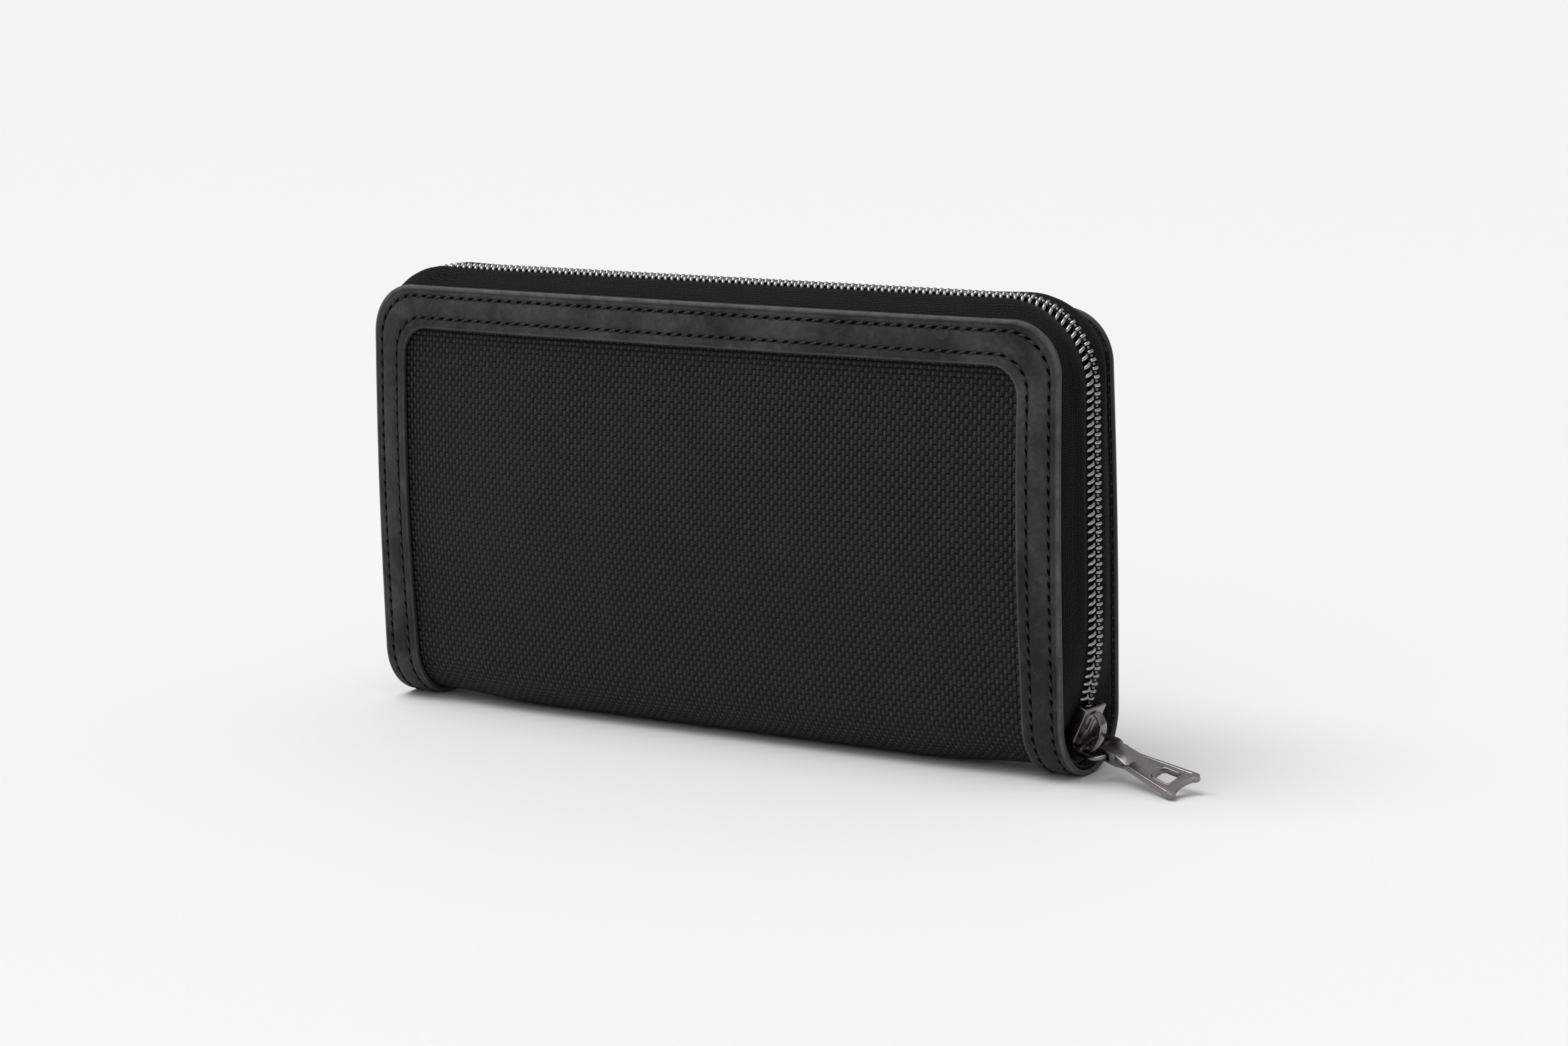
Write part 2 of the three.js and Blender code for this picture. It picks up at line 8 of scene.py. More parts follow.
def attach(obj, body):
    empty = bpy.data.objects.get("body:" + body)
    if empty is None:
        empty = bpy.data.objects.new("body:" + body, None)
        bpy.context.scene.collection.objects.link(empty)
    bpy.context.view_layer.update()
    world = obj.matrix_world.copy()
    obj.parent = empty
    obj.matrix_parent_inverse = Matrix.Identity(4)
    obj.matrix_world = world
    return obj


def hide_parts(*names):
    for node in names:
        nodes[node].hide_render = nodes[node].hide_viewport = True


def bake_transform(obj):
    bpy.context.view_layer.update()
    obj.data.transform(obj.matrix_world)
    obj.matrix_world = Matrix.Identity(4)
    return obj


# Shapes are worked out in millimetres, in the organizer's own frame: x along the width, -y to the
# front cover, z up. finishPiece turns them into metres.
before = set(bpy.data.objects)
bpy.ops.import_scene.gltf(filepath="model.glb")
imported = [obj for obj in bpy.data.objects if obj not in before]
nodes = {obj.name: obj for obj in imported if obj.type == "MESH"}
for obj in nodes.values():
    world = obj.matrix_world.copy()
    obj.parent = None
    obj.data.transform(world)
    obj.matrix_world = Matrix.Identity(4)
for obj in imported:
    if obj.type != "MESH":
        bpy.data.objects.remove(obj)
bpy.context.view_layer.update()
scene = bpy.context.scene
print("frame loaded")

# Degrees and millimetres, round the point the camera aims at.
cameraPlace = {
    "azimuth": 33.82,
    "elevation": 10.28,
    "roll": -1.38,
    "distance": 912.9,
    "aim": (15.0, 0, 51.5),
    "lens": 88.38,
}


def makeCamera(spec):
    az, el, roll = (math.radians(spec[k]) for k in ("azimuth", "elevation", "roll"))
    back = Vector((math.sin(az) * math.cos(el), -math.cos(az) * math.cos(el), math.sin(el)))
    right = (-back).cross(Vector((0, 0, 1))).normalized()
    up = right.cross(-back)
    rolledRight = right * math.cos(roll) + up * math.sin(roll)
    rolledUp = up * math.cos(roll) - right * math.sin(roll)
    camera = bpy.data.objects.new("camera", bpy.data.cameras.new("camera"))
    scene.collection.objects.link(camera)
    turn = Matrix((rolledRight, rolledUp, back)).transposed().to_4x4()
    seat = Vector(spec["aim"]) + back * spec["distance"]
    camera.matrix_world = Matrix.Translation(seat * 0.001) @ turn
    camera.data.lens = spec["lens"]
    camera.data.clip_start = 0.01
    scene.camera = camera


makeCamera(cameraPlace)
scene.view_settings.view_transform = "Standard"
print("camera placed")


# Short forms for the shader nodes used below.
def calc(tree, operation, *values):
    node = tree.nodes.new("ShaderNodeMath")
    node.operation = operation
    for socket, value in zip(node.inputs, values):
        if isinstance(value, (int, float)):
            socket.default_value = value
        else:
            tree.links.new(value, socket)
    return node.outputs[0]


def blendColours(tree, share, first, second):
    node = tree.nodes.new("ShaderNodeMix")
    node.data_type = "RGBA"
    tree.links.new(share, node.inputs[0])
    for socket, value in ((node.inputs[6], first), (node.inputs[7], second)):
        if isinstance(value, tuple):
            socket.default_value = (*value, 1)
        else:
            tree.links.new(value, socket)
    return node.outputs[2]


def remap(tree, value, low, high, toLow=0.0, toHigh=1.0, smooth=False):
    node = tree.nodes.new("ShaderNodeMapRange")
    node.interpolation_type = "SMOOTHSTEP" if smooth else "LINEAR"
    tree.links.new(value, node.inputs["Value"])
    for name, number in zip(("From Min", "From Max", "To Min", "To Max"), (low, high, toLow, toHigh)):
        node.inputs[name].default_value = number
    return node.outputs["Result"]


def noiseOf(tree, vector, scale, detail=2.0, roughness=0.5, distortion=0.0):
    node = tree.nodes.new("ShaderNodeTexNoise")
    node.inputs["Scale"].default_value = scale
    node.inputs["Detail"].default_value = detail
    node.inputs["Roughness"].default_value = roughness
    node.inputs["Distortion"].default_value = distortion
    tree.links.new(vector, node.inputs["Vector"])
    return node.outputs["Fac"]


def newGroup(name, inputs, outputs):
    tree = bpy.data.node_groups.new(name, "ShaderNodeTree")
    for label, kind, value in inputs:
        socket = tree.interface.new_socket(label, in_out="INPUT", socket_type=kind)
        if value is not None:
            socket.default_value = value
    for label, kind in outputs:
        tree.interface.new_socket(label, in_out="OUTPUT", socket_type=kind)
    return tree, tree.nodes.new("NodeGroupInput").outputs, tree.nodes.new("NodeGroupOutput").inputs


def objectCoords(tree):
    return tree.nodes.new("ShaderNodeTexCoord").outputs["Object"]


# Flat coordinates of a sheet: millimetres along and across it, kept in its UV map.
def flatCoords(tree):
    uv = tree.nodes.new("ShaderNodeUVMap")
    uv.uv_map = "flat"
    split = tree.nodes.new("ShaderNodeSeparateXYZ")
    tree.links.new(uv.outputs[0], split.inputs[0])
    return uv.outputs[0], split.outputs[0], split.outputs[1]


flatInputs = [
    ("Along", "NodeSocketFloat", 0.0),
    ("Across", "NodeSocketFloat", 0.0),
    ("Flat", "NodeSocketVector", None),
]


# Basket weave: every cell holds a wide float and a narrow twisted strand beside it.
def makeBasketWeave():
    tree, given, out = newGroup(
        "basket weave",
        flatInputs + [("Column", "NodeSocketFloat", 2.18), ("Row", "NodeSocketFloat", 1.29)],
        [("Height", "NodeSocketFloat"), ("StrandHighlight", "NodeSocketFloat"), ("Lint", "NodeSocketFloat")],
    )
    flat = given["Flat"]
    waver = calc(tree, "MULTIPLY", calc(tree, "SUBTRACT", noiseOf(tree, flat, 0.09, 2), 0.5), 0.5)
    rowPlace = calc(tree, "DIVIDE", calc(tree, "ADD", given["Across"], waver), given["Row"])
    row = calc(tree, "FLOOR", rowPlace)
    rowShare = calc(tree, "SUBTRACT", rowPlace, row)
    shift = calc(tree, "MULTIPLY", calc(tree, "FLOORED_MODULO", row, 2.0), 0.5)
    columnPlace = calc(tree, "ADD", calc(tree, "DIVIDE", given["Along"], given["Column"]), shift)
    column = calc(tree, "FLOOR", columnPlace)
    columnShare = calc(tree, "SUBTRACT", columnPlace, column)

    def hump(share, middle, half):
        offset = calc(tree, "DIVIDE", calc(tree, "SUBTRACT", share, middle), half)
        left = calc(tree, "SUBTRACT", 1.0, calc(tree, "MULTIPLY", offset, offset))
        return calc(tree, "MAXIMUM", left, 0.0)

    wideCrest = calc(tree, "POWER", hump(rowShare, 0.46, 0.48), 0.75)
    narrowCrest = calc(tree, "POWER", hump(rowShare, 0.62, 0.5), 0.6)
    wide = calc(tree, "POWER", hump(columnShare, 0.64, 0.32), 0.7)
    narrow = calc(tree, "POWER", hump(columnShare, 0.17, 0.175), 0.6)
    # fine filaments run up the float, and the strand is notched by its twist
    filament = calc(tree, "SINE", calc(tree, "MULTIPLY", columnShare, 56.0))
    wide = calc(tree, "MULTIPLY", wide, calc(tree, "ADD", 0.9, calc(tree, "MULTIPLY", filament, 0.07)))
    upStrand, acrossStrand = calc(tree, "MULTIPLY", rowShare, 12.6), calc(tree, "MULTIPLY", columnShare, 14.0)
    twist = calc(tree, "SINE", calc(tree, "ADD", upStrand, acrossStrand))
    narrow = calc(tree, "MULTIPLY", narrow, calc(tree, "ADD", 0.8, calc(tree, "MULTIPLY", twist, 0.2)))
    wide = calc(tree, "MULTIPLY", wide, wideCrest)
    narrow = calc(tree, "MULTIPLY", narrow, narrowCrest)
    tree.links.new(calc(tree, "MAXIMUM", wide, narrow), out["Height"])
    # the narrow strand's mask, strongest at its crest, places the painted highlight on it
    strandHighlightMask = calc(tree, "MULTIPLY", calc(tree, "GREATER_THAN", narrow, wide), narrowCrest)
    tree.links.new(strandHighlightMask, out["StrandHighlight"])
    # each yarn takes its own shade, and a little lint lies on top
    cell = tree.nodes.new("ShaderNodeCombineXYZ")
    tree.links.new(column, cell.inputs[0])
    tree.links.new(row, cell.inputs[1])
    white = tree.nodes.new("ShaderNodeTexWhiteNoise")
    white.noise_dimensions = "2D"
    tree.links.new(cell.outputs[0], white.inputs["Vector"])
    tree.links.new(white.outputs["Value"], out["Lint"])
    return tree


# Soft matte leather: cloudy scuffs, and a fine nap.
def makeNubuck():
    tree, given, out = newGroup(
        "nubuck",
        [("Place", "NodeSocketVector", None)],
        [("Scuff", "NodeSocketFloat"), ("Nap", "NodeSocketFloat")],
    )
    cloud = remap(tree, noiseOf(tree, given["Place"], 60.0, 4, 0.6, 0.6), 0.35, 0.72, smooth=True)
    patch = remap(tree, noiseOf(tree, given["Place"], 240.0, 3, 0.6, 1.2), 0.45, 0.8, smooth=True)
    scuff = calc(tree, "ADD", calc(tree, "MULTIPLY", cloud, 0.65), calc(tree, "MULTIPLY", patch, 0.35))
    tree.links.new(scuff, out["Scuff"])
    fine = noiseOf(tree, given["Place"], 2600.0, 3, 0.7)
    coarse = noiseOf(tree, given["Place"], 900.0, 2, 0.6)
    nap = calc(tree, "ADD", calc(tree, "MULTIPLY", fine, 0.6), calc(tree, "MULTIPLY", coarse, 0.4))
    tree.links.new(nap, out["Nap"])
    return tree


# Herringbone tape: chevrons of thin ribs, which turn at even steps across.
def makeHerringbone():
    tree, given, out = newGroup(
        "herringbone",
        flatInputs + [("Rib", "NodeSocketFloat", 0.62), ("Turn", "NodeSocketFloat", 1.7)],
        [("Height", "NodeSocketFloat"), ("Fuzz", "NodeSocketFloat")],
    )
    wander = calc(tree, "MULTIPLY", noiseOf(tree, given["Flat"], 0.8, 2), 0.9)
    zigzag = calc(tree, "PINGPONG", given["Across"], given["Turn"])
    place = calc(tree, "ADD", given["Along"], wander)
    slant = calc(tree, "ADD", place, calc(tree, "MULTIPLY", zigzag, 0.8))
    wave = calc(tree, "SINE", calc(tree, "MULTIPLY", calc(tree, "DIVIDE", slant, given["Rib"]), math.tau))
    cross = calc(tree, "SINE", calc(tree, "MULTIPLY", calc(tree, "ADD", given["Across"], wander), 10.5))
    ribs = calc(tree, "ADD", calc(tree, "MULTIPLY", wave, 0.26), calc(tree, "MULTIPLY", cross, 0.22))
    grain = calc(tree, "SUBTRACT", noiseOf(tree, given["Flat"], 2.4, 3, 0.65), 0.5)
    grain = calc(tree, "MULTIPLY", grain, 0.7)
    level = calc(tree, "ADD", calc(tree, "MULTIPLY", ribs, 0.75), 0.5)
    tree.links.new(calc(tree, "ADD", level, grain), out["Height"])
    tree.links.new(noiseOf(tree, given["Flat"], 1.4, 3, 0.7), out["Fuzz"])
    return tree


# Brushed and slightly worn plating.
def makePlating():
    tree, given, out = newGroup(
        "plating",
        [("Place", "NodeSocketVector", None)],
        [("Tarnish", "NodeSocketFloat"), ("Scratch", "NodeSocketFloat")],
    )
    tree.links.new(remap(tree, noiseOf(tree, given["Place"], 1500.0, 5, 0.7), 0.35, 0.7), out["Tarnish"])
    stretch = tree.nodes.new("ShaderNodeMapping")
    stretch.inputs["Scale"].default_value = (1, 6, 2)
    tree.links.new(given["Place"], stretch.inputs["Vector"])
    tree.links.new(noiseOf(tree, stretch.outputs[0], 2200.0, 3, 0.6), out["Scratch"])
    return tree


groups = {
    "weave": makeBasketWeave(),
    "nubuck": makeNubuck(),
    "herringbone": makeHerringbone(),
    "plating": makePlating(),
}


def newMaterial(name, roughness, metallic=0.0, specular=0.5, sheen=0.0):
    material = bpy.data.materials.new(name)
    material.use_nodes = True
    tree = material.node_tree
    shader = tree.nodes["Principled BSDF"]
    shader.inputs["Roughness"].default_value = roughness
    shader.inputs["Metallic"].default_value = metallic
    shader.inputs["Specular IOR Level"].default_value = specular
    shader.inputs["Sheen Weight"].default_value = sheen
    return material, tree, shader


def useGroup(tree, name):
    node = tree.nodes.new("ShaderNodeGroup")
    node.node_tree = groups[name]
    return node


def bump(tree, shader, height, distance, strength=1.0):
    node = tree.nodes.new("ShaderNodeBump")
    node.inputs["Distance"].default_value = distance
    node.inputs["Strength"].default_value = strength
    tree.links.new(height, node.inputs["Height"])
    tree.links.new(node.outputs[0], shader.inputs["Normal"])


def linkFlat(tree, group):
    flat, along, across = flatCoords(tree)
    tree.links.new(flat, group.inputs["Flat"])
    tree.links.new(along, group.inputs["Along"])
    tree.links.new(across, group.inputs["Across"])
    return flat


def makeCloth(name, spec):
    material, tree, shader = newMaterial(name, spec["roughness"], 0, spec["specular"], spec["sheen"])
    weave = useGroup(tree, "weave")
    flat = linkFlat(tree, weave)
    weave.inputs["Column"].default_value = spec["column"]
    weave.inputs["Row"].default_value = spec["row"]
    height = weave.outputs["Height"]
    # painted shade: where the weave is low, between the yarns, the colour darkens to the near-black gap
    # colour
    heightForPaintedShade = remap(tree, height, 0.12, 1.0)
    colour = blendColours(tree, heightForPaintedShade, spec["gap"], spec["yarn"])
    # painted highlight: the narrow strand takes a lighter colour, strongest along its crest
    strandHighlight = calc(tree, "MULTIPLY", weave.outputs["StrandHighlight"], spec["strandHighlightShare"])
    colour = blendColours(tree, strandHighlight, colour, spec["strandHighlight"])
    shade = remap(tree, weave.outputs["Lint"], 0.9, 1.0, 0.0, 0.35)
    colour = blendColours(tree, calc(tree, "MULTIPLY", shade, heightForPaintedShade), colour, spec["lint"])
    dust = remap(tree, noiseOf(tree, flat, 0.045, 4, 0.6), 0.45, 0.8, 0.0, 0.3)
    colour = blendColours(tree, calc(tree, "MULTIPLY", dust, heightForPaintedShade), colour, spec["lint"])
    tree.links.new(colour, shader.inputs["Base Color"])
    bump(tree, shader, height, spec["depth"])
    return material


def makeLeather(name, spec):
    material, tree, shader = newMaterial(name, spec["roughness"], 0, spec["specular"], spec["sheen"])
    place = objectCoords(tree)
    nubuck = useGroup(tree, "nubuck")
    tree.links.new(place, nubuck.inputs["Place"])
    colour = blendColours(tree, nubuck.outputs["Scuff"], spec["dark"], spec["light"])
    if "wear" in spec:  # the frame is rubbed paler along its outer and inner edge
        flat, _, across = flatCoords(tree)
        outer = remap(tree, across, 0.15, 1.15, 1.0, 0.0, smooth=True)
        inner = remap(tree, across, 9.4, 10.1, 0.0, 0.8, smooth=True)
        rubbed = calc(tree, "ADD", outer, inner)
        patchy = remap(tree, noiseOf(tree, flat, 0.16, 3, 0.6), 0.3, 0.65, 0.25, 1.0)
        colour = blendColours(tree, calc(tree, "MULTIPLY", rubbed, patchy), colour, spec["wear"])
    speck = remap(tree, nubuck.outputs["Nap"], 0.35, 0.65, 0.78, 1.22)
    value = tree.nodes.new("ShaderNodeHueSaturation")
    tree.links.new(colour, value.inputs["Color"])
    tree.links.new(speck, value.inputs["Value"])
    tree.links.new(value.outputs[0], shader.inputs["Base Color"])
    bump(tree, shader, nubuck.outputs["Nap"], spec["nap"], 0.6)
    return material


def makeRibbed(name, spec):
    material, tree, shader = newMaterial(name, spec["roughness"], 0, spec["specular"], spec["sheen"])
    herringbone = useGroup(tree, "herringbone")
    linkFlat(tree, herringbone)
    herringbone.inputs["Rib"].default_value = spec["rib"]
    herringbone.inputs["Turn"].default_value = spec["turn"]
    # painted shade: where the ribs are low, the colour darkens to the near-black gap colour
    heightForPaintedShade = remap(tree, herringbone.outputs["Height"], 0.2, 0.9)
    colour = blendColours(tree, heightForPaintedShade, spec["gap"], spec["yarn"])
    fuzz = remap(tree, herringbone.outputs["Fuzz"], 0.35, 0.7, 0.7, 1.3)
    value = tree.nodes.new("ShaderNodeHueSaturation")
    tree.links.new(colour, value.inputs["Color"])
    tree.links.new(fuzz, value.inputs["Value"])
    tree.links.new(value.outputs[0], shader.inputs["Base Color"])
    bump(tree, shader, herringbone.outputs["Height"], spec["depth"])
    return material


def makeMetal(name, spec):
    material, tree, shader = newMaterial(name, spec["roughness"], spec["metallic"])
    plating = useGroup(tree, "plating")
    tree.links.new(objectCoords(tree), plating.inputs["Place"])
    colour = blendColours(tree, plating.outputs["Tarnish"], spec["bright"], spec["dull"])
    tree.links.new(colour, shader.inputs["Base Color"])
    smoothest, roughest = spec["roughness"] * 0.8, spec["roughness"] * 1.3
    rough = remap(tree, plating.outputs["Scratch"], 0.3, 0.7, smoothest, roughest)
    tree.links.new(rough, shader.inputs["Roughness"])
    bump(tree, shader, plating.outputs["Scratch"], spec["scratch"], 0.3)
    return material


def makeThread(name, spec):
    material, tree, shader = newMaterial(name, spec["roughness"], 0, 0.3, 0.05)
    _, along, across = flatCoords(tree)
    twist = calc(tree, "MULTIPLY", along, spec["twist"])
    turn = calc(tree, "ADD", twist, calc(tree, "MULTIPLY", across, math.tau))
    ply = remap(tree, calc(tree, "SINE", turn), -1.0, 1.0)
    # painted shade: the colour darkens into the grooves between the plies, following the same twist as the
    # bump
    tree.links.new(blendColours(tree, ply, spec["dark"], spec["light"]), shader.inputs["Base Color"])
    bump(tree, shader, ply, spec["depth"])
    return material


def makeStiff(name, spec):
    material, tree, shader = newMaterial(name, spec["roughness"], 0, 0.04)
    grain = noiseOf(tree, objectCoords(tree), spec["scale"], 4, 0.6)
    colour = blendColours(tree, remap(tree, grain, 0.3, 0.7), spec["dark"], spec["light"])
    tree.links.new(colour, shader.inputs["Base Color"])
    bump(tree, shader, grain, spec["depth"])
    return material


finishes = {
    # in both cloths the gap colour is a painted shade between the yarns, and the lighter strand colour a
    # painted highlight on the narrow strand
    "cloth": makeCloth("coverCloth", {
        "column": 2.18, "row": 1.29, "depth": 0.0005, "roughness": 0.42, "specular": 0.11, "sheen": 0.0,
        "gap": (0.0006, 0.0006, 0.0008), "yarn": (0.0215, 0.0195, 0.02), "strandHighlight": (0.056, 0.051, 0.049),
        "strandHighlightShare": 0.85, "lint": (0.055, 0.052, 0.05),
    }),
    "lining": makeCloth("liningCloth", {
        "column": 0.9, "row": 0.55, "depth": 0.00008, "roughness": 0.5, "specular": 0.4, "sheen": 0.1,
        "gap": (0.006, 0.006, 0.0065), "yarn": (0.02, 0.02, 0.021), "strandHighlight": (0.028, 0.028, 0.029),
        "strandHighlightShare": 0.5, "lint": (0.04, 0.04, 0.04),
    }),
    "leather": makeLeather("blackNubuck", {
        "roughness": 0.7, "specular": 0.13, "sheen": 0.09, "nap": 0.00008,
        "dark": (0.0145, 0.0142, 0.0155), "light": (0.062, 0.0605, 0.063), "wear": (0.1, 0.0975, 0.098),
    }),
    "edge": makeLeather("paintedEdge", {
        "roughness": 0.5, "specular": 0.4, "sheen": 0.1, "nap": 0.00008,
        "dark": (0.016, 0.0135, 0.0128), "light": (0.04, 0.034, 0.032),
    }),
    "pocketLeather": makeLeather("pocketLeather", {
        "roughness": 0.6, "specular": 0.4, "sheen": 0.15, "nap": 0.00006,
        "dark": (0.014, 0.014, 0.015), "light": (0.028, 0.027, 0.028),
    }),
    # the tape's near-black gap colour is a painted shade between its ribs
    "tape": makeRibbed("zipperTape", {
        "rib": 0.66, "turn": 0.8, "roughness": 0.8, "specular": 0.06, "sheen": 0.04, "depth": 0.0003,
        "gap": (0.0007, 0.0007, 0.0008), "yarn": (0.0168, 0.0162, 0.0166),
    }),
    "coil": makeMetal("coilPlating", {
        "metallic": 1.0, "roughness": 0.14, "scratch": 0.00001,
        "bright": (0.44, 0.435, 0.43), "dull": (0.26, 0.26, 0.27),
    }),
    "gunmetal": makeMetal("blackNickel", {
        "metallic": 1.0, "roughness": 0.22, "scratch": 0.000012,
        "bright": (0.27, 0.256, 0.245), "dull": (0.2, 0.19, 0.182),
    }),
    # the thread's dark colour is a painted shade in the grooves of its twist
    "thread": makeThread("sewingThread", {
        "roughness": 0.45, "twist": 5.5, "depth": 0.00012,
        "dark": (0.004, 0.0048, 0.006), "light": (0.022, 0.026, 0.031),
    }),
    # the needle holes are near-black: a painted shade for the inside of each hole
    "hole": makeStiff("needleHoleShade", {
        "roughness": 0.9, "scale": 3000.0, "depth": 0.00001,
        "dark": (0.0008, 0.0008, 0.0008), "light": (0.002, 0.002, 0.0022),
    }),
    "fuzz": makeStiff("looseThread", {
        "roughness": 0.9, "scale": 1800.0, "depth": 0.00004,
        "dark": (0.004, 0.004, 0.004), "light": (0.028, 0.028, 0.029),
    }),
    "board": makeStiff("stiffener", {
        "roughness": 0.9, "scale": 900.0, "depth": 0.00005,
        "dark": (0.03, 0.03, 0.028), "light": (0.06, 0.058, 0.055),
    }),
}
print("finishes made")

# One curved surface carries every sheet. Depth is measured inwards from it.
cover = {
    "width": 195.0, "height": 105.0, "spineRadius": 13.5, "topHalf": 12.0, "sideBow": 0.9,
    "bulge": 5.0, "topBulge": 1.8, "belly": 1.4, "fullest": 0.55,
    "trimWidth": 10.2, "outerRadius": 12.0, "innerRadius": 7.0,
}
halfWidth = cover["width"] / 2
arcLength = cover["spineRadius"] * math.pi / 2
topS = arcLength + cover["height"] - cover["spineRadius"]


def smoothStep(t):
    c = min(max(t, 0.0), 1.0)
    return c * c * (3 - 2 * c)


def mix(a, b, t):
    return a + (b - a) * t


# The covers swell over what is packed inside, and sag a little near the spine.
def bulgeAt(x, s):
    u = abs(x) / halfWidth
    t = abs(s) / topS
    rising = math.sin(math.pi / 2 * min(1.0, t / cover["fullest"])) ** 2
    falling = 1 - max(0.0, (t - cover["fullest"]) / (1 - cover["fullest"])) ** 3
    if t < cover["fullest"]:
        panel = cover["bulge"] * rising
    else:
        panel = mix(cover["topBulge"], cover["bulge"], falling)
    side = smoothStep((halfWidth - cover["trimWidth"] - 1 - abs(x)) / 30)
    return panel * (1 - u ** 4) + cover["belly"] * side * (1 - smoothStep(t / 0.35))


# s runs from the spine's middle up the back cover, and below zero up the front cover.
def coverPoint(x, s, depth):
    side = -1 if s < 0 else 1
    run = abs(s)
    radius = cover["spineRadius"]
    out = bulgeAt(x, s) - depth
    if run < arcLength:
        turn = run / radius
        return Vector((x, side * (radius + out) * math.sin(turn), radius - (radius + out) * math.cos(turn)))
    z = radius + run - arcLength
    rise = (z - radius) / (cover["height"] - radius)
    bow = cover["sideBow"] * math.sin(math.pi * rise)
    y = mix(radius, cover["topHalf"], rise) + bow + out
    return Vector((x, side * y, z))


def coverNormal(x, s):
    across = coverPoint(x + 0.05, s, 0) - coverPoint(x - 0.05, s, 0)
    along = coverPoint(x, s + 0.05, 0) - coverPoint(x, s - 0.05, 0)
    return across.cross(along).normalized()


sides = {"front": -1, "back": 1}


# Turns a mesh in millimetres into a named piece in metres.
def finishPiece(name, bm, materials, outward=True):
    if outward:
        bmesh.ops.recalc_face_normals(bm, faces=bm.faces)
    for face in bm.faces:
        face.smooth = True
    mesh = bpy.data.meshes.new(name)
    bm.to_mesh(mesh)
    bm.free()
    mesh.transform(Matrix.Scale(0.001, 4))
    piece = bpy.data.objects.new(name, mesh)
    scene.collection.objects.link(piece)
    for key in materials:
        mesh.materials.append(finishes[key])
    return piece


def thicken(piece, thickness):
    solid = piece.modifiers.new("thickness", "SOLIDIFY")
    solid.thickness = thickness * 0.001
    solid.offset = -1.0


def bendFold(piece):
    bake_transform(piece)


# Keeps each vertex's flat place in the UV map.
def layFlat(bm, uv, flat):
    for face in bm.faces:
        for loop in face.loops:
            loop[uv].uv = flat[loop.vert]


# A grid of columns by rows. place(i, j) gives a corner's flat place and its point.
def gridSheet(columns, rows, place):
    bm = bmesh.new()
    uv = bm.loops.layers.uv.new("flat")
    bmesh.ops.create_grid(bm, x_segments=columns, y_segments=rows, size=0.5)
    flat = {}
    for vert in bm.verts:
        flat[vert], vert.co = place(round((vert.co.x + 0.5) * columns), round((vert.co.y + 0.5) * rows))
    layFlat(bm, uv, flat)
    bm.normal_update()
    return bm


# Turns the whole sheet round if one of its faces looks the wrong way.
def faceOutwards(bm, face, outwards):
    if face.normal.dot(outwards) < 0:
        bmesh.ops.reverse_faces(bm, faces=bm.faces)


# A sheet on the cover's surface. at(a, t) gives x, s and depth for a and t from 0 to 1.
def coverSheet(name, columns, rows, at, materials):
    def place(i, j):
        x, s, depth = at(i / columns, j / rows)
        return (x, s), coverPoint(x, s, depth)

    bm = gridSheet(columns, rows, place)
    middle = bm.faces[:][len(bm.faces) // 2]
    faceOutwards(bm, middle, Vector((0, middle.calc_center_median().y, -5)))
    return finishPiece(name, bm, materials, outward=False)


# Half the sheet's width at s, less where its top corners round.
def roundedHalf(s, half, top, radius):
    over = abs(s) - (top - radius)
    return half if over <= 0 else half - radius + math.sqrt(max(0.0, radius ** 2 - over ** 2))


# Rows up a cover, closer together where the top corners round.
def rowPlaces(top, radius, count, cornerCount):
    straight = [(top - radius) * i / count for i in range(count + 1)]
    turns = [math.radians(90 * (i + 1) / cornerCount) for i in range(cornerCount)]
    return straight + [top - radius + radius * math.sin(a) for a in turns]


def layerSheet(name, side, inset, depthAt, materials, radius):
    top = topS - inset
    rows = rowPlaces(top, radius, 44, 12)

    def at(a, t):
        s = rows[round(t * (len(rows) - 1))]
        half = roundedHalf(s, halfWidth - inset, top, radius)
        x = (2 * a - 1) * half
        return x, side * max(s, 0.001), depthAt(x, s)

    return coverSheet(name, 84, len(rows) - 1, at, materials)


# The cloth lies just under the leather and reaches to the middle of the spine on each side.
clothSpec = {"depth": 1.35, "thickness": 0.8, "inset": 0.5, "ripple": 0.12, "rippleScale": 0.03}


def clothDepth(x, s):
    ripple = noise.noise(Vector((x * clothSpec["rippleScale"], s * clothSpec["rippleScale"], 2.0)))
    inside = smoothStep((halfWidth - cover["trimWidth"] - abs(x)) / 12)
    inside *= smoothStep((topS - cover["trimWidth"] - abs(s)) / 12)
    return clothSpec["depth"] - clothSpec["ripple"] * ripple * inside * smoothStep(abs(s) / 20)


for word, side in sides.items():
    cloth = layerSheet(word + "ClothCover", side, clothSpec["inset"], clothDepth, ["cloth"], 11.5)
    thicken(cloth, clothSpec["thickness"])
    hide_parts(word + "_cover_cloth", "spine_cloth")
    bendFold(cloth)
print("cloth covers made")

# The leather frame's section is (across, depth) points, across from the outer edge to the inner one.
trimSpec = {
    "section": [
        (0.0, 1.15), (-0.12, 0.75), (-0.08, 0.3), (0.12, 0.06), (0.5, -0.05), (0.92, -0.04),
        (1.1, 0.12), (1.28, -0.02), (1.75, -0.04), (2.1, 0.08), (2.4, 0.16), (2.7, 0.08),
        (3.1, -0.06), (4.0, -0.12), (5.2, -0.14), (6.4, -0.1), (7.1, -0.02), (7.35, 0.08),
        (7.6, 0.16), (7.85, 0.08), (8.2, -0.04), (9.3, -0.04), (9.95, 0.06), (10.2, 0.35),
        (10.22, 0.9), (10.0, 1.2), (5.0, 1.2),
    ],
    "rows": (2.4, 7.6),
    "pitch": 3.0,
    "pucker": 0.16,
    "stations": 561,
}


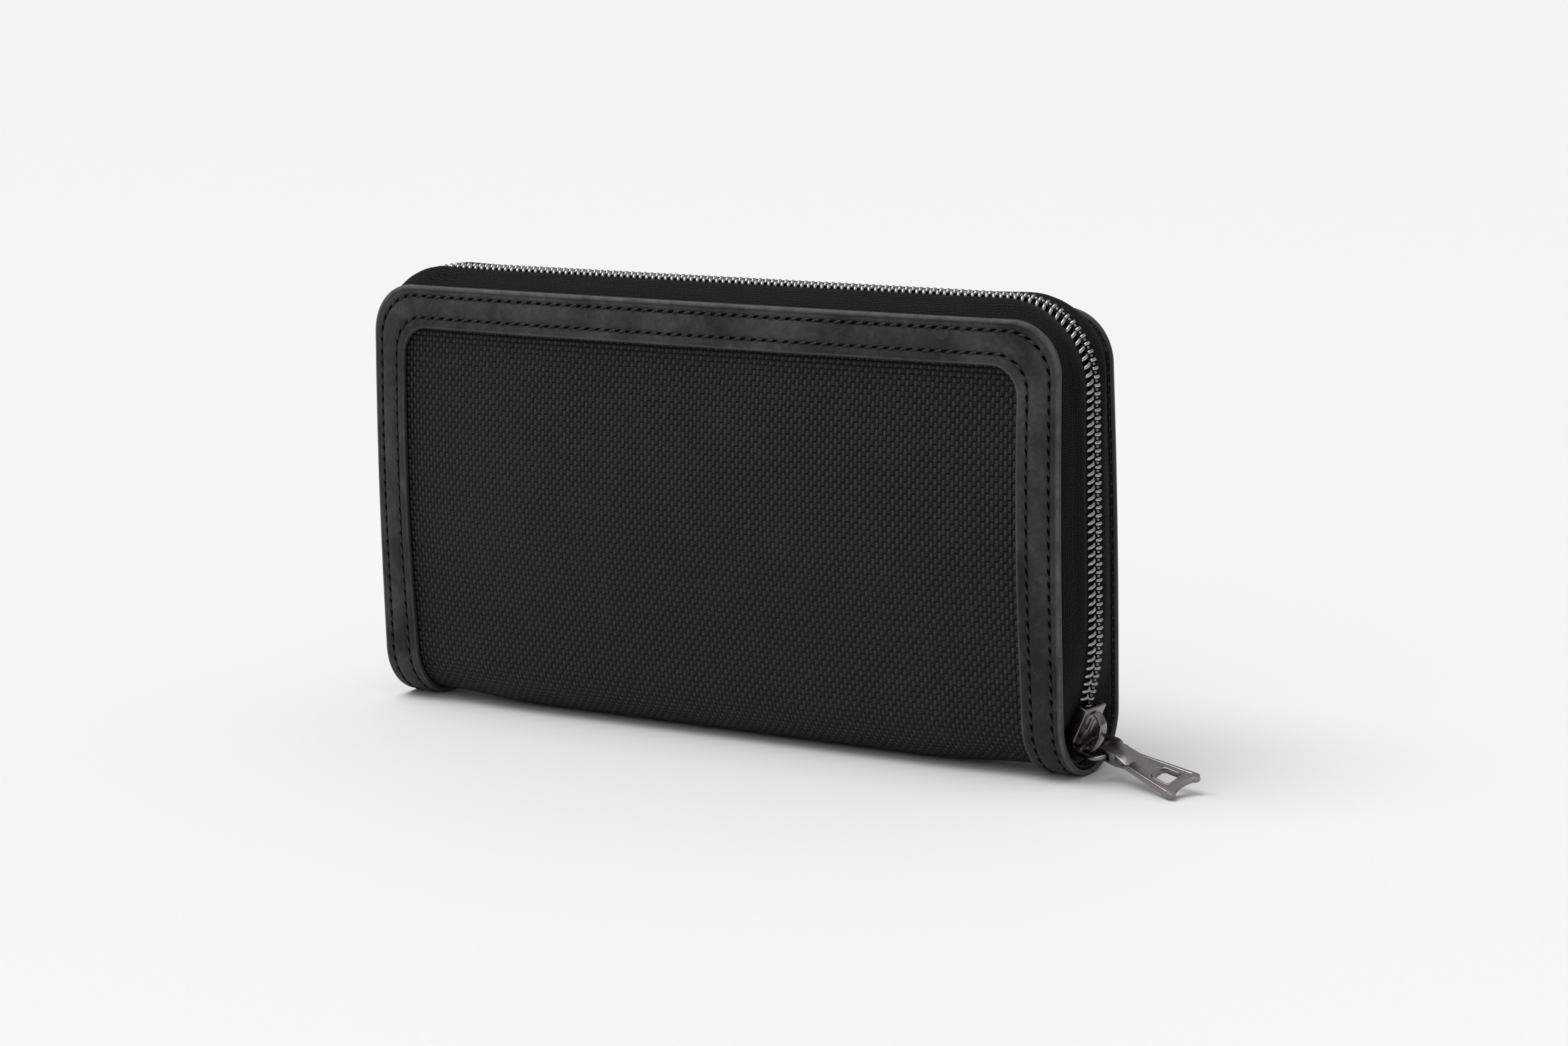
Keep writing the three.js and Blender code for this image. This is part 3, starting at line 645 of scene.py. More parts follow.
# Outer and inner path of the frame for t from 0, at the spine's left end, over the top, to 1.
def framePath(t):
    points = []
    for half, top, radius in (
        (halfWidth, topS, cover["outerRadius"]),
        (halfWidth - cover["trimWidth"], topS - cover["trimWidth"], cover["innerRadius"]),
    ):
        u = 2 * min(t, 1 - t)
        sign = -1 if t < 0.5 else 1
        if u < 0.5:
            points.append((sign * half, mix(0, top - radius, u / 0.5)))
        elif u < 0.62:
            turn = (u - 0.5) / 0.12 * math.pi / 2
            x, s = half - radius + radius * math.cos(turn), top - radius + radius * math.sin(turn)
            points.append((sign * x, s))
        else:
            points.append((sign * mix(half - radius, 0, (u - 0.62) / 0.38), top))
    return points


def framePoint(t, across, depth, side):
    (x0, s0), (x1, s1) = framePath(t)
    share = across / cover["trimWidth"]
    return coverPoint(mix(x0, x1, share), side * max(mix(s0, s1, share), 0.001), depth)


# Sweeps a closed section: ring(i) gives the section's points at station i, and paint(face, place) may
# mark a face by its corners' stations and places round the section.
def sweep(bm, stations, ring, paint=None, closed=False):
    count = len(ring(0))
    made = bmesh.ops.create_grid(bm, x_segments=stations - 1, y_segments=count, size=0.5)["verts"]
    place = {v: (round((v.co.x + 0.5) * (stations - 1)), round((v.co.y + 0.5) * count)) for v in made}
    rings = [ring(i) for i in range(stations)]
    for vert, (i, k) in place.items():
        vert.co = rings[i][k % count]
    if paint:
        for face in {f for v in made for f in v.link_faces}:
            paint(face, place)
    ends = (0, stations - 1) if closed else ()
    seam = [v for v, (i, k) in place.items() if k in (0, count) or i in ends]
    bmesh.ops.remove_doubles(bm, verts=seam, dist=1e-5)
    if not closed:
        bmesh.ops.holes_fill(bm, edges=[e for e in bm.edges if e.is_boundary], sides=count)


# Copies the shape held in bm to every seat.
def repeatShape(bm, seats):
    first = bm.verts[:] + bm.edges[:] + bm.faces[:]
    own = bm.verts[:]
    for seat in seats[1:]:
        made = bmesh.ops.duplicate(bm, geom=first)["geom"]
        for vert in made:
            if isinstance(vert, bmesh.types.BMVert):
                vert.co = seat @ vert.co
    for vert in own:
        vert.co = seats[0] @ vert.co


def makeTrim(word, side):
    bm = bmesh.new()
    uv = bm.loops.layers.uv.new("flat")
    section = trimSpec["section"]
    count = trimSpec["stations"]
    fine = [framePoint(i / (count - 1), trimSpec["rows"][0], 0, side) for i in range(count)]
    runs = [0.0]
    for a, b in zip(fine, fine[1:]):
        runs.append(runs[-1] + (b - a).length)
    step = runs[-1] / round(runs[-1] / trimSpec["pitch"])

    # the leather dips along both rows of stitches, most at the needle holes
    def ring(i):
        pull = 0.5 + 0.5 * math.cos(math.tau * runs[i] / step)
        points = []
        for across, depth in section:
            near = max(math.exp(-((across - row) / 0.55) ** 2) for row in trimSpec["rows"])
            sunk = depth + trimSpec["pucker"] * pull * near if depth < 0.5 else depth
            points.append(framePoint(i / (count - 1), across, sunk, side))
        return points

    def paint(face, place):
        k = min(place[v][1] for v in face.verts)
        face.material_index = 1 if k < 2 or k >= len(section) - 5 else 0
        for loop in face.loops:
            i, k = place[loop.vert]
            loop[uv].uv = (runs[i], section[k % len(section)][0])

    sweep(bm, count, ring, paint)
    trim = finishPiece(word + "LeatherFrame", bm, ["leather", "edge"])
    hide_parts(word + "_leather_trim", "spine_leather_left", "spine_leather_right")
    bendFold(trim)


# Stations of the needle holes and of the stitches between them, from the row's left foot to its right.
def rowStations(across, side, pitch):
    parts = 1600
    fine = [framePoint(i / parts, across, 0, side) for i in range(parts + 1)]
    run = [0.0]
    for a, b in zip(fine, fine[1:]):
        run.append(run[-1] + (b - a).length)
    count = round(run[-1] / pitch)
    step = run[-1] / count
    found, k = [], 0
    for i in range(count):
        for wanted in (i * step, (i + 0.5) * step):
            while run[k + 1] < wanted:
                k += 1
            share = (wanted - run[k]) / (run[k + 1] - run[k])
            found.append((k + share) / parts)
    return found[0::2], found[1::2]


stitchSpec = {
    "length": 2.15, "width": 0.46, "height": 0.5, "slant": -15.0, "lift": 0.02,
    "holeLength": 0.98, "holeWidth": 0.37, "holeSlant": -12.0, "holeDepth": 0.17,
}


# A seat on the frame: x along the row, y across it, z out of the leather.
def stitchFrame(t, across, side, lift):
    here = framePoint(t, across, 0, side)
    ahead = framePoint(min(t + 0.0008, 1), across, 0, side)
    along = (ahead - framePoint(max(t - 0.0008, 0), across, 0, side)).normalized()
    inward = framePoint(t, across + 0.3, 0, side) - framePoint(t, across - 0.3, 0, side)
    out = along.cross(inward).normalized() * side
    if out.dot(Vector((0, here.y, min(0, here.z - 13.5)))) < 0:
        out = -out
    cross = out.cross(along)
    return Matrix.Translation(here + out * lift) @ Matrix((along, cross, out)).transposed().to_4x4()


def makeStitches(word, side):
    spec = stitchSpec
    rows = [(across, rowStations(across, side, trimSpec["pitch"])) for across in trimSpec["rows"]]
    bm = bmesh.new()
    uv = bm.loops.layers.uv.new("flat")
    lying = Matrix.Rotation(math.pi / 2, 4, "Y")
    bmesh.ops.create_uvsphere(bm, u_segments=8, v_segments=6, radius=1, matrix=lying)
    flat = {v: (v.co.x * spec["length"] / 2, math.atan2(v.co.z, v.co.y) / math.tau) for v in bm.verts}
    for vert in bm.verts:
        x, y, z = vert.co
        full = 1 + 0.35 * min(1.0, abs(x) * 1.3)
        vert.co = Vector((x * spec["length"], y * spec["width"] * full, z * spec["height"] * full)) / 2
    layFlat(bm, uv, flat)
    turn = Matrix.Rotation(math.radians(spec["slant"] * side), 4, "Z")
    seats = [
        stitchFrame(t, across, side, spec["lift"]) @ turn
        for across, (_, middles) in rows for t in middles
    ]
    repeatShape(bm, seats)
    stitches = finishPiece(word + "Stitches", bm, ["thread"], outward=False)
    bendFold(stitches)
    # near-black lenses sunk just under the leather at each needle hole stand for the shade inside the holes:
    # painted shade
    bm = bmesh.new()
    bmesh.ops.create_uvsphere(bm, u_segments=8, v_segments=4, radius=1)
    turn = Matrix.Rotation(math.radians(spec["holeSlant"] * side), 4, "Z")
    size = Matrix.Diagonal((spec["holeLength"], spec["holeWidth"], 0.2, 1))
    seats = [
        stitchFrame(t, across, side, -spec["holeDepth"]) @ turn @ size
        for across, (holes, _) in rows for t in holes[1:]
    ]
    repeatShape(bm, seats)
    needleHoleShades = finishPiece(word + "NeedleHoleShades", bm, ["hole"], outward=False)
    bendFold(needleHoleShades)


for word, side in sides.items():
    makeTrim(word, side)
    makeStitches(word, side)
print("leather frames sewn")

liningSpec = {"depth": 3.6, "spineDepth": 2.3, "thickness": 0.5, "inset": 3.0}


# The lining lies close to the spine and rises over each cover's stiffener.
def liningDepth(x, s):
    return mix(liningSpec["spineDepth"], liningSpec["depth"], smoothStep((abs(s) - 14) / 8))


for word, side in sides.items():
    lining = layerSheet(word + "Lining", side, liningSpec["inset"], liningDepth, ["lining"], 9)
    thicken(lining, liningSpec["thickness"])
    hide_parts(word + "_lining", "spine_lining")
    bendFold(lining)

# Each pocket: which cover, depth, ends across, height from its foot, and the body it moves with.
pocketFoot = arcLength + 3
pocketSpec = {
    "thickness": 0.5, "binding": 0.4, "stitchPitch": 2.4, "stitchInset": 2.6, "stitch": (0.82, 0.2, 0.17),
}
pockets = {
    "card_panel": (-1, 4.4, (-86, 86), 78, "front_half"),
    "boarding_pass_pocket": (1, 4.4, (-86, 86), 72, "back_half"),
    "passport_pocket": (1, 5.2, (-86, 12), 58, "back_half"),
    "ticket_slot_1": (1, 5.2, (14, 86), 56, "back_half"),
    "ticket_slot_2": (1, 6.0, (14, 86), 40, "back_half"),
}
for i in (1, 2, 3):
    pockets["card_slot_left_%d" % i] = (-1, 4.4 + 0.8 * i, (-86, -1), 72 - 14 * i, "front_half")
    pockets["card_slot_right_%d" % i] = (-1, 4.4 + 0.8 * i, (1, 86), 72 - 14 * i, "front_half")


def camel(name):
    head, *rest = name.split("_")
    return head + "".join(w.capitalize() for w in rest)


def makePocket(name, side, depth, xs, rise, body):
    def at(a, t):
        return mix(*xs, a), side * (pocketFoot + rise * t), depth

    sheet = coverSheet(camel(name), 40, 20, at, ["pocketLeather"])
    thicken(sheet, pocketSpec["thickness"])
    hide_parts(name)
    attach(sheet, body)
    # a bound mouth
    bm = bmesh.new()
    r = pocketSpec["binding"]
    turns = [i * math.tau / 8 for i in range(8)]
    s = pocketFoot + rise - r
    middle = depth + pocketSpec["thickness"] / 2

    def ring(i):
        x = mix(xs[0] + 0.2, xs[1] - 0.2, i / 40)
        section = [(s + r * 1.6 * math.cos(a), middle + r * 0.82 * math.sin(a)) for a in turns]
        return [coverPoint(x, side * up, down) for up, down in section]

    sweep(bm, 41, ring)
    binding = finishPiece(camel(name) + "Binding", bm, ["pocketLeather"])
    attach(binding, body)


# A row of stitches holds each mouth's binding, and one runs down both sides of each pocket.
def pocketSeats(side, depth, xs, rise):
    seats = []
    pitch, inset = pocketSpec["stitchPitch"], pocketSpec["stitchInset"]
    mouth = pocketFoot + rise - inset
    count = int((xs[1] - xs[0] - 3) / pitch)
    places = [(mix(xs[0] + 2, xs[1] - 2, (i + 0.5) / count), mouth, 0) for i in range(count)]
    down = int((rise - 4) / pitch)
    for x in (xs[0] + 1.3, xs[1] - 1.3):
        places += [(x, pocketFoot + 2 + pitch * i, 1) for i in range(down)]
    for x, s, upright in places:
        here = coverPoint(x, side * s, depth + pocketSpec["thickness"])
        inward = -coverNormal(x, side * s) * (1 if side > 0 else -1)
        middle = Vector((here.x, 0, here.z))
        if inward.dot(middle - here) < 0:
            inward = -inward
        along = Vector((1, 0, 0))
        if upright:
            along = coverPoint(x, side * (s + 1), depth) - coverPoint(x, side * (s - 1), depth)
        along = (along - inward * along.dot(inward)).normalized()
        turn = Matrix((along, inward.cross(along), inward)).transposed().to_4x4()
        seats.append(Matrix.Translation(here + inward * 0.05) @ turn)
    return seats


def sewPockets(word, side):
    bm = bmesh.new()
    uv = bm.loops.layers.uv.new("flat")
    lying = Matrix.Rotation(math.pi / 2, 4, "Y")
    bmesh.ops.create_uvsphere(bm, u_segments=6, v_segments=5, radius=1, matrix=lying)
    flat = {v: (v.co.x, math.atan2(v.co.z, v.co.y) / math.tau) for v in bm.verts}
    for vert in bm.verts:
        vert.co = Vector(k * size for k, size in zip(vert.co, pocketSpec["stitch"]))
    layFlat(bm, uv, flat)
    seats = []
    for owner, depth, xs, rise, _ in pockets.values():
        if owner == side:
            seats += pocketSeats(owner, depth, xs, rise)
    repeatShape(bm, seats)
    stitches = finishPiece(word + "PocketStitches", bm, ["thread"], outward=False)
    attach(stitches, word + "_half")


for name, (side, depth, xs, rise, body) in pockets.items():
    makePocket(name, side, depth, xs, rise, body)
for word, side in sides.items():
    sewPockets(word, side)
print("linings and pockets made")

# The main zipper's tapes meet along its ridge. The crest is how full a tape stands beside the coil.
zipper = {
    "ridgeHalf": halfWidth + 0.9, "ridgeTop": cover["height"] + 2.9, "ridgeRadius": 19.0,
    "edgeInset": 0.8, "innerEdge": 0.55, "thickness": 0.5, "foot": 9.8,
    "tuckRadius": 52.0, "tuckStart": 33.0, "pitch": 1.85,
    "crest": 0.85, "tapeWidth": 11, "tapeDepth": 2.45,
    "cornerCrest": {(-1, 1): 0.2, (-1, -1): 0.95, (1, 1): 0.8, (1, -1): 0.8},  # by side and end
}


# How far the ridge draws in towards its foot.
def tuckAt(z):
    below = max(0.0, zipper["tuckStart"] - z)
    return zipper["tuckRadius"] - math.sqrt(zipper["tuckRadius"] ** 2 - below ** 2)


# Ridge and cover edge for u from 0 at the foot to 1 at the middle of the top, on the right side.
def ridgeAndEdge(u):
    found = []
    inset = zipper["edgeInset"]
    for half, top, radius in (
        (zipper["ridgeHalf"], zipper["ridgeTop"], zipper["ridgeRadius"]),
        (halfWidth - inset, cover["height"] - inset, cover["outerRadius"] - inset),
    ):
        if u < 0.42:
            found.append((half, mix(zipper["foot"], top - radius, u / 0.42), 1.0, 0.0))
        elif u < 0.58:
            turn = (u - 0.42) / 0.16 * math.pi / 2
            c, s = math.cos(turn), math.sin(turn)
            found.append((half - radius + radius * c, top - radius + radius * s, c, s))
        else:
            found.append((mix(half - radius, 0, (u - 0.58) / 0.42), top, 0.0, 1.0))
    return found


# How far from the middle plane a tape leaves its cover.
def insideAt(x, z):
    depth = zipper["tapeDepth"]
    radius = cover["spineRadius"]
    if z < radius:
        return math.sqrt((radius - depth) ** 2 - (radius - z) ** 2)
    return coverPoint(x, arcLength + z - radius, depth).y


# The tape stands fuller than the coil beside it, most of all round the corners.
def tapePoint(t, share, side):
    u = 2 * min(t, 1 - t)
    sign = -1 if t > 0.5 else 1
    (rx, rz, nx, nz), (ex, ez, _, _) = ridgeAndEdge(u)
    rise = math.sin(math.pi / 2 * min(1.0, share / 0.62)) ** 1.15
    y = mix(insideAt(ex, ez), zipper["innerEdge"], share)
    corner = math.sin(math.pi * min(1.0, max(0.0, (u - 0.37) / 0.27))) ** 1.5
    crown = zipper["crest"] + corner * zipper["cornerCrest"][(side, sign)]
    offset = (share - mix(0.6, 0.46, corner)) / mix(0.15, 0.3, corner)
    crown *= smoothStep((rz - 26) / 16) * math.exp(-offset ** 2)
    x = mix(ex, rx - tuckAt(rz), rise) + nx * crown
    return Vector((sign * x, side * y, mix(ez, rz, rise) + nz * crown))


def makeTape(word, side):
    stations, rows = 260, 14
    runs = [0.0]
    for i in range(stations):
        stretch = tapePoint((i + 1) / stations, 1, side) - tapePoint(i / stations, 1, side)
        runs.append(runs[-1] + stretch.length)

    def place(i, j):
        return (runs[i], j / rows * zipper["tapeWidth"]), tapePoint(i / stations, j / rows, side)

    bm = gridSheet(stations, rows, place)
    overTop = Vector((0, side * 4, cover["height"]))
    middle = min(bm.faces, key=lambda f: (f.calc_center_median() - overTop).length)
    faceOutwards(bm, middle, Vector((0, 0, 1)))
    tape = finishPiece(word + "ZipperTape", bm, ["tape"], outward=False)
    thicken(tape, zipper["thickness"])
    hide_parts(word + "_zipper_tape")
    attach(tape, word + "_half")


# One turn of the coil: x across from the seam, y along the chain, z outwards.
coilSpec = {
    "wire": 0.44, "sides": 8,
    "arch": [
        (2.5, -0.2), (2.55, 0.25), (2.35, 0.68), (1.95, 0.98),
        (1.5, 1.1), (1.12, 0.95), (0.84, 0.6), (0.74, 0.1),
    ],
    "lean": {"front": 0.5, "back": -0.12},
    "eyelet": {"radius": 0.21, "wire": 0.12, "across": 1.1, "lift": 0.9},
    "foot": {"front": (19.0, 17.8), "back": (19.0, 11.0)},  # lowest turn at the left and right end
    "thread": {"wire": 0.13, "pitch": 0.9, "foot": 41.0},
}


def coilTurn(bm, word):
    arch = coilSpec["arch"]
    lean = coilSpec["lean"][word]
    head = arch[-1][0]
    points = [Vector((x, lean * (1 - 2 * (x - head) / 1.8), z)) for x, z in arch]

    def ring(i):
        ahead = (points[min(i + 1, len(points) - 1)] - points[max(i - 1, 0)]).normalized()
        across = ahead.cross(Vector((0, 1, 0.2))).normalized()
        other = ahead.cross(across)
        turns = (k * math.tau / coilSpec["sides"] for k in range(coilSpec["sides"]))
        return [points[i] + (across * math.cos(a) + other * math.sin(a)) * coilSpec["wire"] for a in turns]

    sweep(bm, len(points), ring)
    bmesh.ops.recalc_face_normals(bm, faces=bm.faces)


# Even steps along the ridge, each with its place, directions and station.
def ridgeFrames(side, step, shift):
    parts = 4000
    fine = [i / parts for i in range(parts + 1)]
    spots = [tapePoint(t, 1, side) for t in fine]
    run, wanted, frames = 0.0, shift, []
    for i in range(1, len(fine)):
        piece = (spots[i] - spots[i - 1]).length
        while run + piece >= wanted:
            share = (wanted - run) / piece
            here = spots[i - 1].lerp(spots[i], share)
            along = (spots[min(i + 3, parts)] - spots[max(i - 4, 0)]).normalized()
            across = Vector((0, side, 0))
            out = along.cross(across).normalized()
            if out.dot(Vector((here.x, 0, here.z - 40))) < 0:
                out = -out
            frames.append((here, along, across, out, fine[i]))
            wanted += step
        run += piece
    return frames


def makeCoil(word, side):
    step = zipper["pitch"]
    left, right = coilSpec["foot"][word]

    def seats(shift, spacing=step, low=right):
        found = []
        for here, along, across, out, t in ridgeFrames(side, spacing, shift):
            if here.z > (low if t < 0.5 else left):
                turn = Matrix((across, along, out)).transposed().to_4x4()
                found.append(Matrix.Translation(Vector((here.x, 0, here.z))) @ turn)
        return found

    shift = step * (0.5 if side > 0 else 1.0)
    bm = bmesh.new()
    coilTurn(bm, word)
    repeatShape(bm, seats(shift))
    coil = finishPiece(word + "ZipperCoil", bm, ["coil"])
    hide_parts(word + "_zipper_coil")
    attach(coil, word + "_half")
    # the ends of the turns show as small eyelets between those of the back row
    eye = coilSpec["eyelet"]
    if side > 0:
        bm = bmesh.new()
        tilt = Vector((-0.75, 0.1, 0.62)).to_track_quat("Z", "Y").to_matrix()

        def ring(i):
            a = i * math.tau / 9
            spoke = Vector((math.cos(a), math.sin(a), 0))
            centre = Vector((eye["across"], 0, eye["lift"]))
            points = []
            for k in range(5):
                b = k * math.tau / 5
                reach = eye["radius"] + eye["wire"] * math.cos(b)
                points.append(centre + tilt @ (spoke * reach + Vector((0, 0, eye["wire"] * math.sin(b)))))
            return points

        sweep(bm, 10, ring, closed=True)
        repeatShape(bm, seats(shift + step / 2))
        eyelets = finishPiece("coilEyelets", bm, ["coil"])
        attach(eyelets, word + "_half")
    # a loose sewing thread lies in the seam
    loose = coilSpec["thread"]
    spots = seats(0.5, loose["pitch"], loose["foot"])
    bm = bmesh.new()

    def threadRing(i):
        wobble = noise.noise(Vector((i * 0.83, side * 3.1, 0.0)))
        rise = 0.62 + 0.3 * noise.noise(Vector((i * 0.61, 9.2, side)))
        points = []
        for k in range(5):
            a = k * math.tau / 5
            x = 0.12 + wobble * 0.5 + loose["wire"] * math.cos(a)
            points.append(spots[i] @ Vector((x, 0, rise + loose["wire"] * math.sin(a))))
        return points

    sweep(bm, len(spots), threadRing)
    thread = finishPiece(word + "SeamThread", bm, ["fuzz"])
    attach(thread, word + "_half")


for word, side in sides.items():
    makeTape(word, side)
    makeCoil(word, side)
print("main zipper made")


# A CAD node's shape with its sharp edges rounded.
def soften(nodeName, newName, body, width):
    bm = bmesh.new()
    bm.from_mesh(nodes[nodeName].data)
    bmesh.ops.remove_doubles(bm, verts=bm.verts, dist=1e-6)
    bmesh.ops.dissolve_limit(bm, angle_limit=math.radians(4), verts=bm.verts, edges=bm.edges)
    sharp = [e for e in bm.edges if len(e.link_faces) == 2 and e.calc_face_angle() > math.radians(32)]
    bmesh.ops.bevel(
        bm, geom=sharp, offset=width * 0.001, offset_type="OFFSET", segments=3,
        profile=0.5, material=-1, affect="EDGES", clamp_overlap=True,
    )
    bmesh.ops.transform(bm, matrix=Matrix.Scale(1000, 4), verts=bm.verts)
    piece = finishPiece(newName, bm, ["gunmetal"])
    piece.data.set_sharp_from_angle(angle=math.radians(40))
    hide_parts(nodeName)
    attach(piece, body)


metalParts = {
    "slider_body": ("sliderBody", "slider", 0.22),
    "slider_crown": ("sliderCrown", "slider", 0.2),
    "slider_lock_spring": ("sliderSpring", "slider", 0.12),
    "pull_tab": ("pullTab", "puller", 0.36),
    "front_zipper_stop": ("frontZipperStop", "front_half", 0.3),
    "back_zipper_stop": ("backZipperStop", "back_half", 0.3),
    "leaf_zipper_stop_left": ("leafStopLeft", "leaf", 0.25),
    "leaf_zipper_stop_right": ("leafStopRight", "leaf", 0.25),
    "leaf_slider": ("leafSliderBody", "pocket_slider", 0.15),
    "leaf_slider_tab": ("leafSliderTab", "pocket_puller", 0.12),
}  # new name, body, and how wide its edges are rounded
for nodeName, (newName, body, width) in metalParts.items():
    soften(nodeName, newName, body, width)


# The neck slopes down to the tab's plate. The tab's own frame: x away from the ring, z upwards.
tabSeat = {
    "sliderHeight": 12, "ring": (-0.5, -3.2, 4.7), "yaw": 18.1, "dip": 2.8, "roll": 18.6,
    "length": 8.2, "tabDip": 8.6,
}
slopeSpec = {"neck": (2.9, 2.27, 1.76), "plate": (7.6, 2.85, 0.6), "round": 0.32}  # x, half width, rise


def tabFrame(spec):
    z = spec["sliderHeight"]
    tilt = math.asin((zipper["tuckStart"] - z) / zipper["tuckRadius"])
    s, c = math.sin(tilt), math.cos(tilt)
    turn = Matrix(((0, s, c), (1, 0, 0), (0, c, -s))).to_4x4()
    slider = Matrix.Translation((zipper["ridgeHalf"] - tuckAt(z), 0, z)) @ turn
    yaw, dip, roll, tabDip = (math.radians(spec[k]) for k in ("yaw", "dip", "roll", "tabDip"))
    ring = Matrix.Translation(slider @ Vector(spec["ring"]))
    ring = ring @ Matrix.Rotation(-yaw, 4, "Z") @ Matrix.Rotation(dip, 4, "Y")
    ring = ring @ Matrix.Rotation(roll, 4, "X")
    return ring @ Matrix.Translation((spec["length"], 0, 0)) @ Matrix.Rotation(tabDip, 4, "Y")


def makeTabSlope():
    bm = bmesh.new()
    bmesh.ops.create_cube(bm, size=1)
    for vert in bm.verts:
        x, half, rise = slopeSpec["plate" if vert.co.x > 0 else "neck"]
        vert.co = Vector((x, math.copysign(half, vert.co.y), math.copysign(rise, vert.co.z)))
    bmesh.ops.bevel(
        bm, geom=bm.edges[:], offset=slopeSpec["round"], offset_type="OFFSET", segments=3,
        profile=0.5, material=-1, affect="EDGES", clamp_overlap=True,
    )
    bmesh.ops.transform(bm, matrix=tabFrame(tabSeat), verts=bm.verts)
    slope = finishPiece("pullTabSlope", bm, ["gunmetal"])
    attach(slope, "puller")


makeTabSlope()

rimSpec = {
    "sides": {"from": (5.0, 2.3), "to": (22.3, 4.32), "radius": 0.8, "flat": 0.66},
    "hole": {"middle": 17.0, "half": (3.0, 2.4), "radius": 0.42, "rise": 0.78, "power": 5},
}


# Rounded rims stand a little proud along the tab's sides and round its hole.
def makeTabRims():
    bm = bmesh.new()
    seat = tabFrame(tabSeat)
    turns = [k * math.tau / 10 for k in range(10)]
    spec = rimSpec["sides"]
    for sign in (-1, 1):

        def ring(i):
            t = i / 20
            size = spec["radius"] * math.sqrt(max(0.03, 1 - abs(2 * t - 1) ** 10))
            x, y = (mix(a, b, t) for a, b in zip(spec["from"], spec["to"]))
            return [
                seat @ Vector((x, sign * y + spec["flat"] * size * math.cos(a), size * math.sin(a)))
                for a in turns
            ]

        sweep(bm, 21, ring)
    hole = rimSpec["hole"]

    def holeRing(i):
        a = i * math.tau / 36
        c, s = math.cos(a), math.sin(a)
        reach = (abs(c) ** hole["power"] + abs(s) ** hole["power"]) ** (-1 / hole["power"])
        taper = 1 + 0.07 * reach * c
        long, wide = hole["half"]
        middle = Vector((hole["middle"] + long * reach * c, wide * reach * s * taper, 0))
        points = []
        for b in turns:
            out = hole["radius"] * math.cos(b)
            points.append(seat @ (middle + Vector((c * out, s * out, hole["rise"] * math.sin(b)))))
        return points

    sweep(bm, 37, holeRing, closed=True)
    rims = finishPiece("pullTabRims", bm, ["gunmetal"])
    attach(rims, "puller")


makeTabRims()


# The pull ring, its facets rounded off.
def makeRing():
    bm = bmesh.new()
    bm.from_mesh(nodes["pull_ring"].data)
    bmesh.ops.remove_doubles(bm, verts=bm.verts, dist=1e-6)
    bmesh.ops.transform(bm, matrix=Matrix.Scale(1000, 4), verts=bm.verts)
    ring = finishPiece("pullRing", bm, ["gunmetal"])
    finer = ring.modifiers.new("round", "SUBSURF")
    finer.levels = finer.render_levels = 1
    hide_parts("pull_ring")
    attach(ring, "bail")


makeRing()
print("metal parts made")

# The leaf is a flat pocket that stands in the middle, with a zipper in its front panel.
leafSpec = {
    "half": 84.0, "bottom": 6.0, "rootTop": 14.0, "top": 92.0, "corner": 6.0,
    "skin": 0.8, "gap": 1.0, "pillow": 0.55,
    "window": (67.7, 75.6, 84.4),  # half its width, then its foot and head
    "binding": {"reach": 2.6, "stand": 0.24, "foot": 9.0},
    "tapes": {"Lower": (75.6, 79.5), "Upper": (80.5, 84.4)},
    "coil": {"half": 63.5, "pitch": 1.55, "scale": 0.68, "face": 1.95, "height": 80},
}


def steps(start, end, count):
    return [mix(start, end, i / count) for i in range(count)]


# Each panel swells a little towards its middle.
def leafPillow(x, z):
    wide = min(1.0, max(0.0, (leafSpec["half"] - abs(x)) / 24))
    high = min(1.0, max(0.0, min(z - leafSpec["rootTop"], leafSpec["top"] - z) / 20))
    return leafSpec["pillow"] * math.sin(wide * math.pi / 2) * math.sin(high * math.pi / 2)


# The two panels close up towards the root, which leaves room for the open spine.
def leafGap(z):
    return leafSpec["gap"] * smoothStep((z - leafSpec["rootTop"]) / 14)


# An upright sheet over the given lines in x and z, with the zipper's window left out when asked.
def leafSheet(name, side, xs, zs, key, window=None, curved=True):
    outer = leafSpec["half"]

    def place(i, j):
        x, z = xs[i], zs[j]
        share = roundedHalf(z, outer, leafSpec["top"], leafSpec["corner"]) / outer if curved else 1.0
        swell = leafPillow(x, z)
        if window or not curved:  # it lies flat beside the zipper
            swell *= smoothStep((abs(z - leafSpec["coil"]["height"]) - 4) / 9)
        return (x, z), Vector((x * share, side * (leafGap(z) + leafSpec["skin"] + swell), z))

    bm = gridSheet(len(xs) - 1, len(zs) - 1, place)
    if window:
        half, low, high = window
        centres = {f: f.calc_center_median() for f in bm.faces}
        inside = [f for f, c in centres.items() if abs(c.x) < half and low < c.z < high]
        bmesh.ops.delete(bm, geom=inside, context="FACES")
    faceOutwards(bm, bm.faces[:][0], Vector((0, side, 0)))
    return finishPiece(name, bm, [key], outward=False)


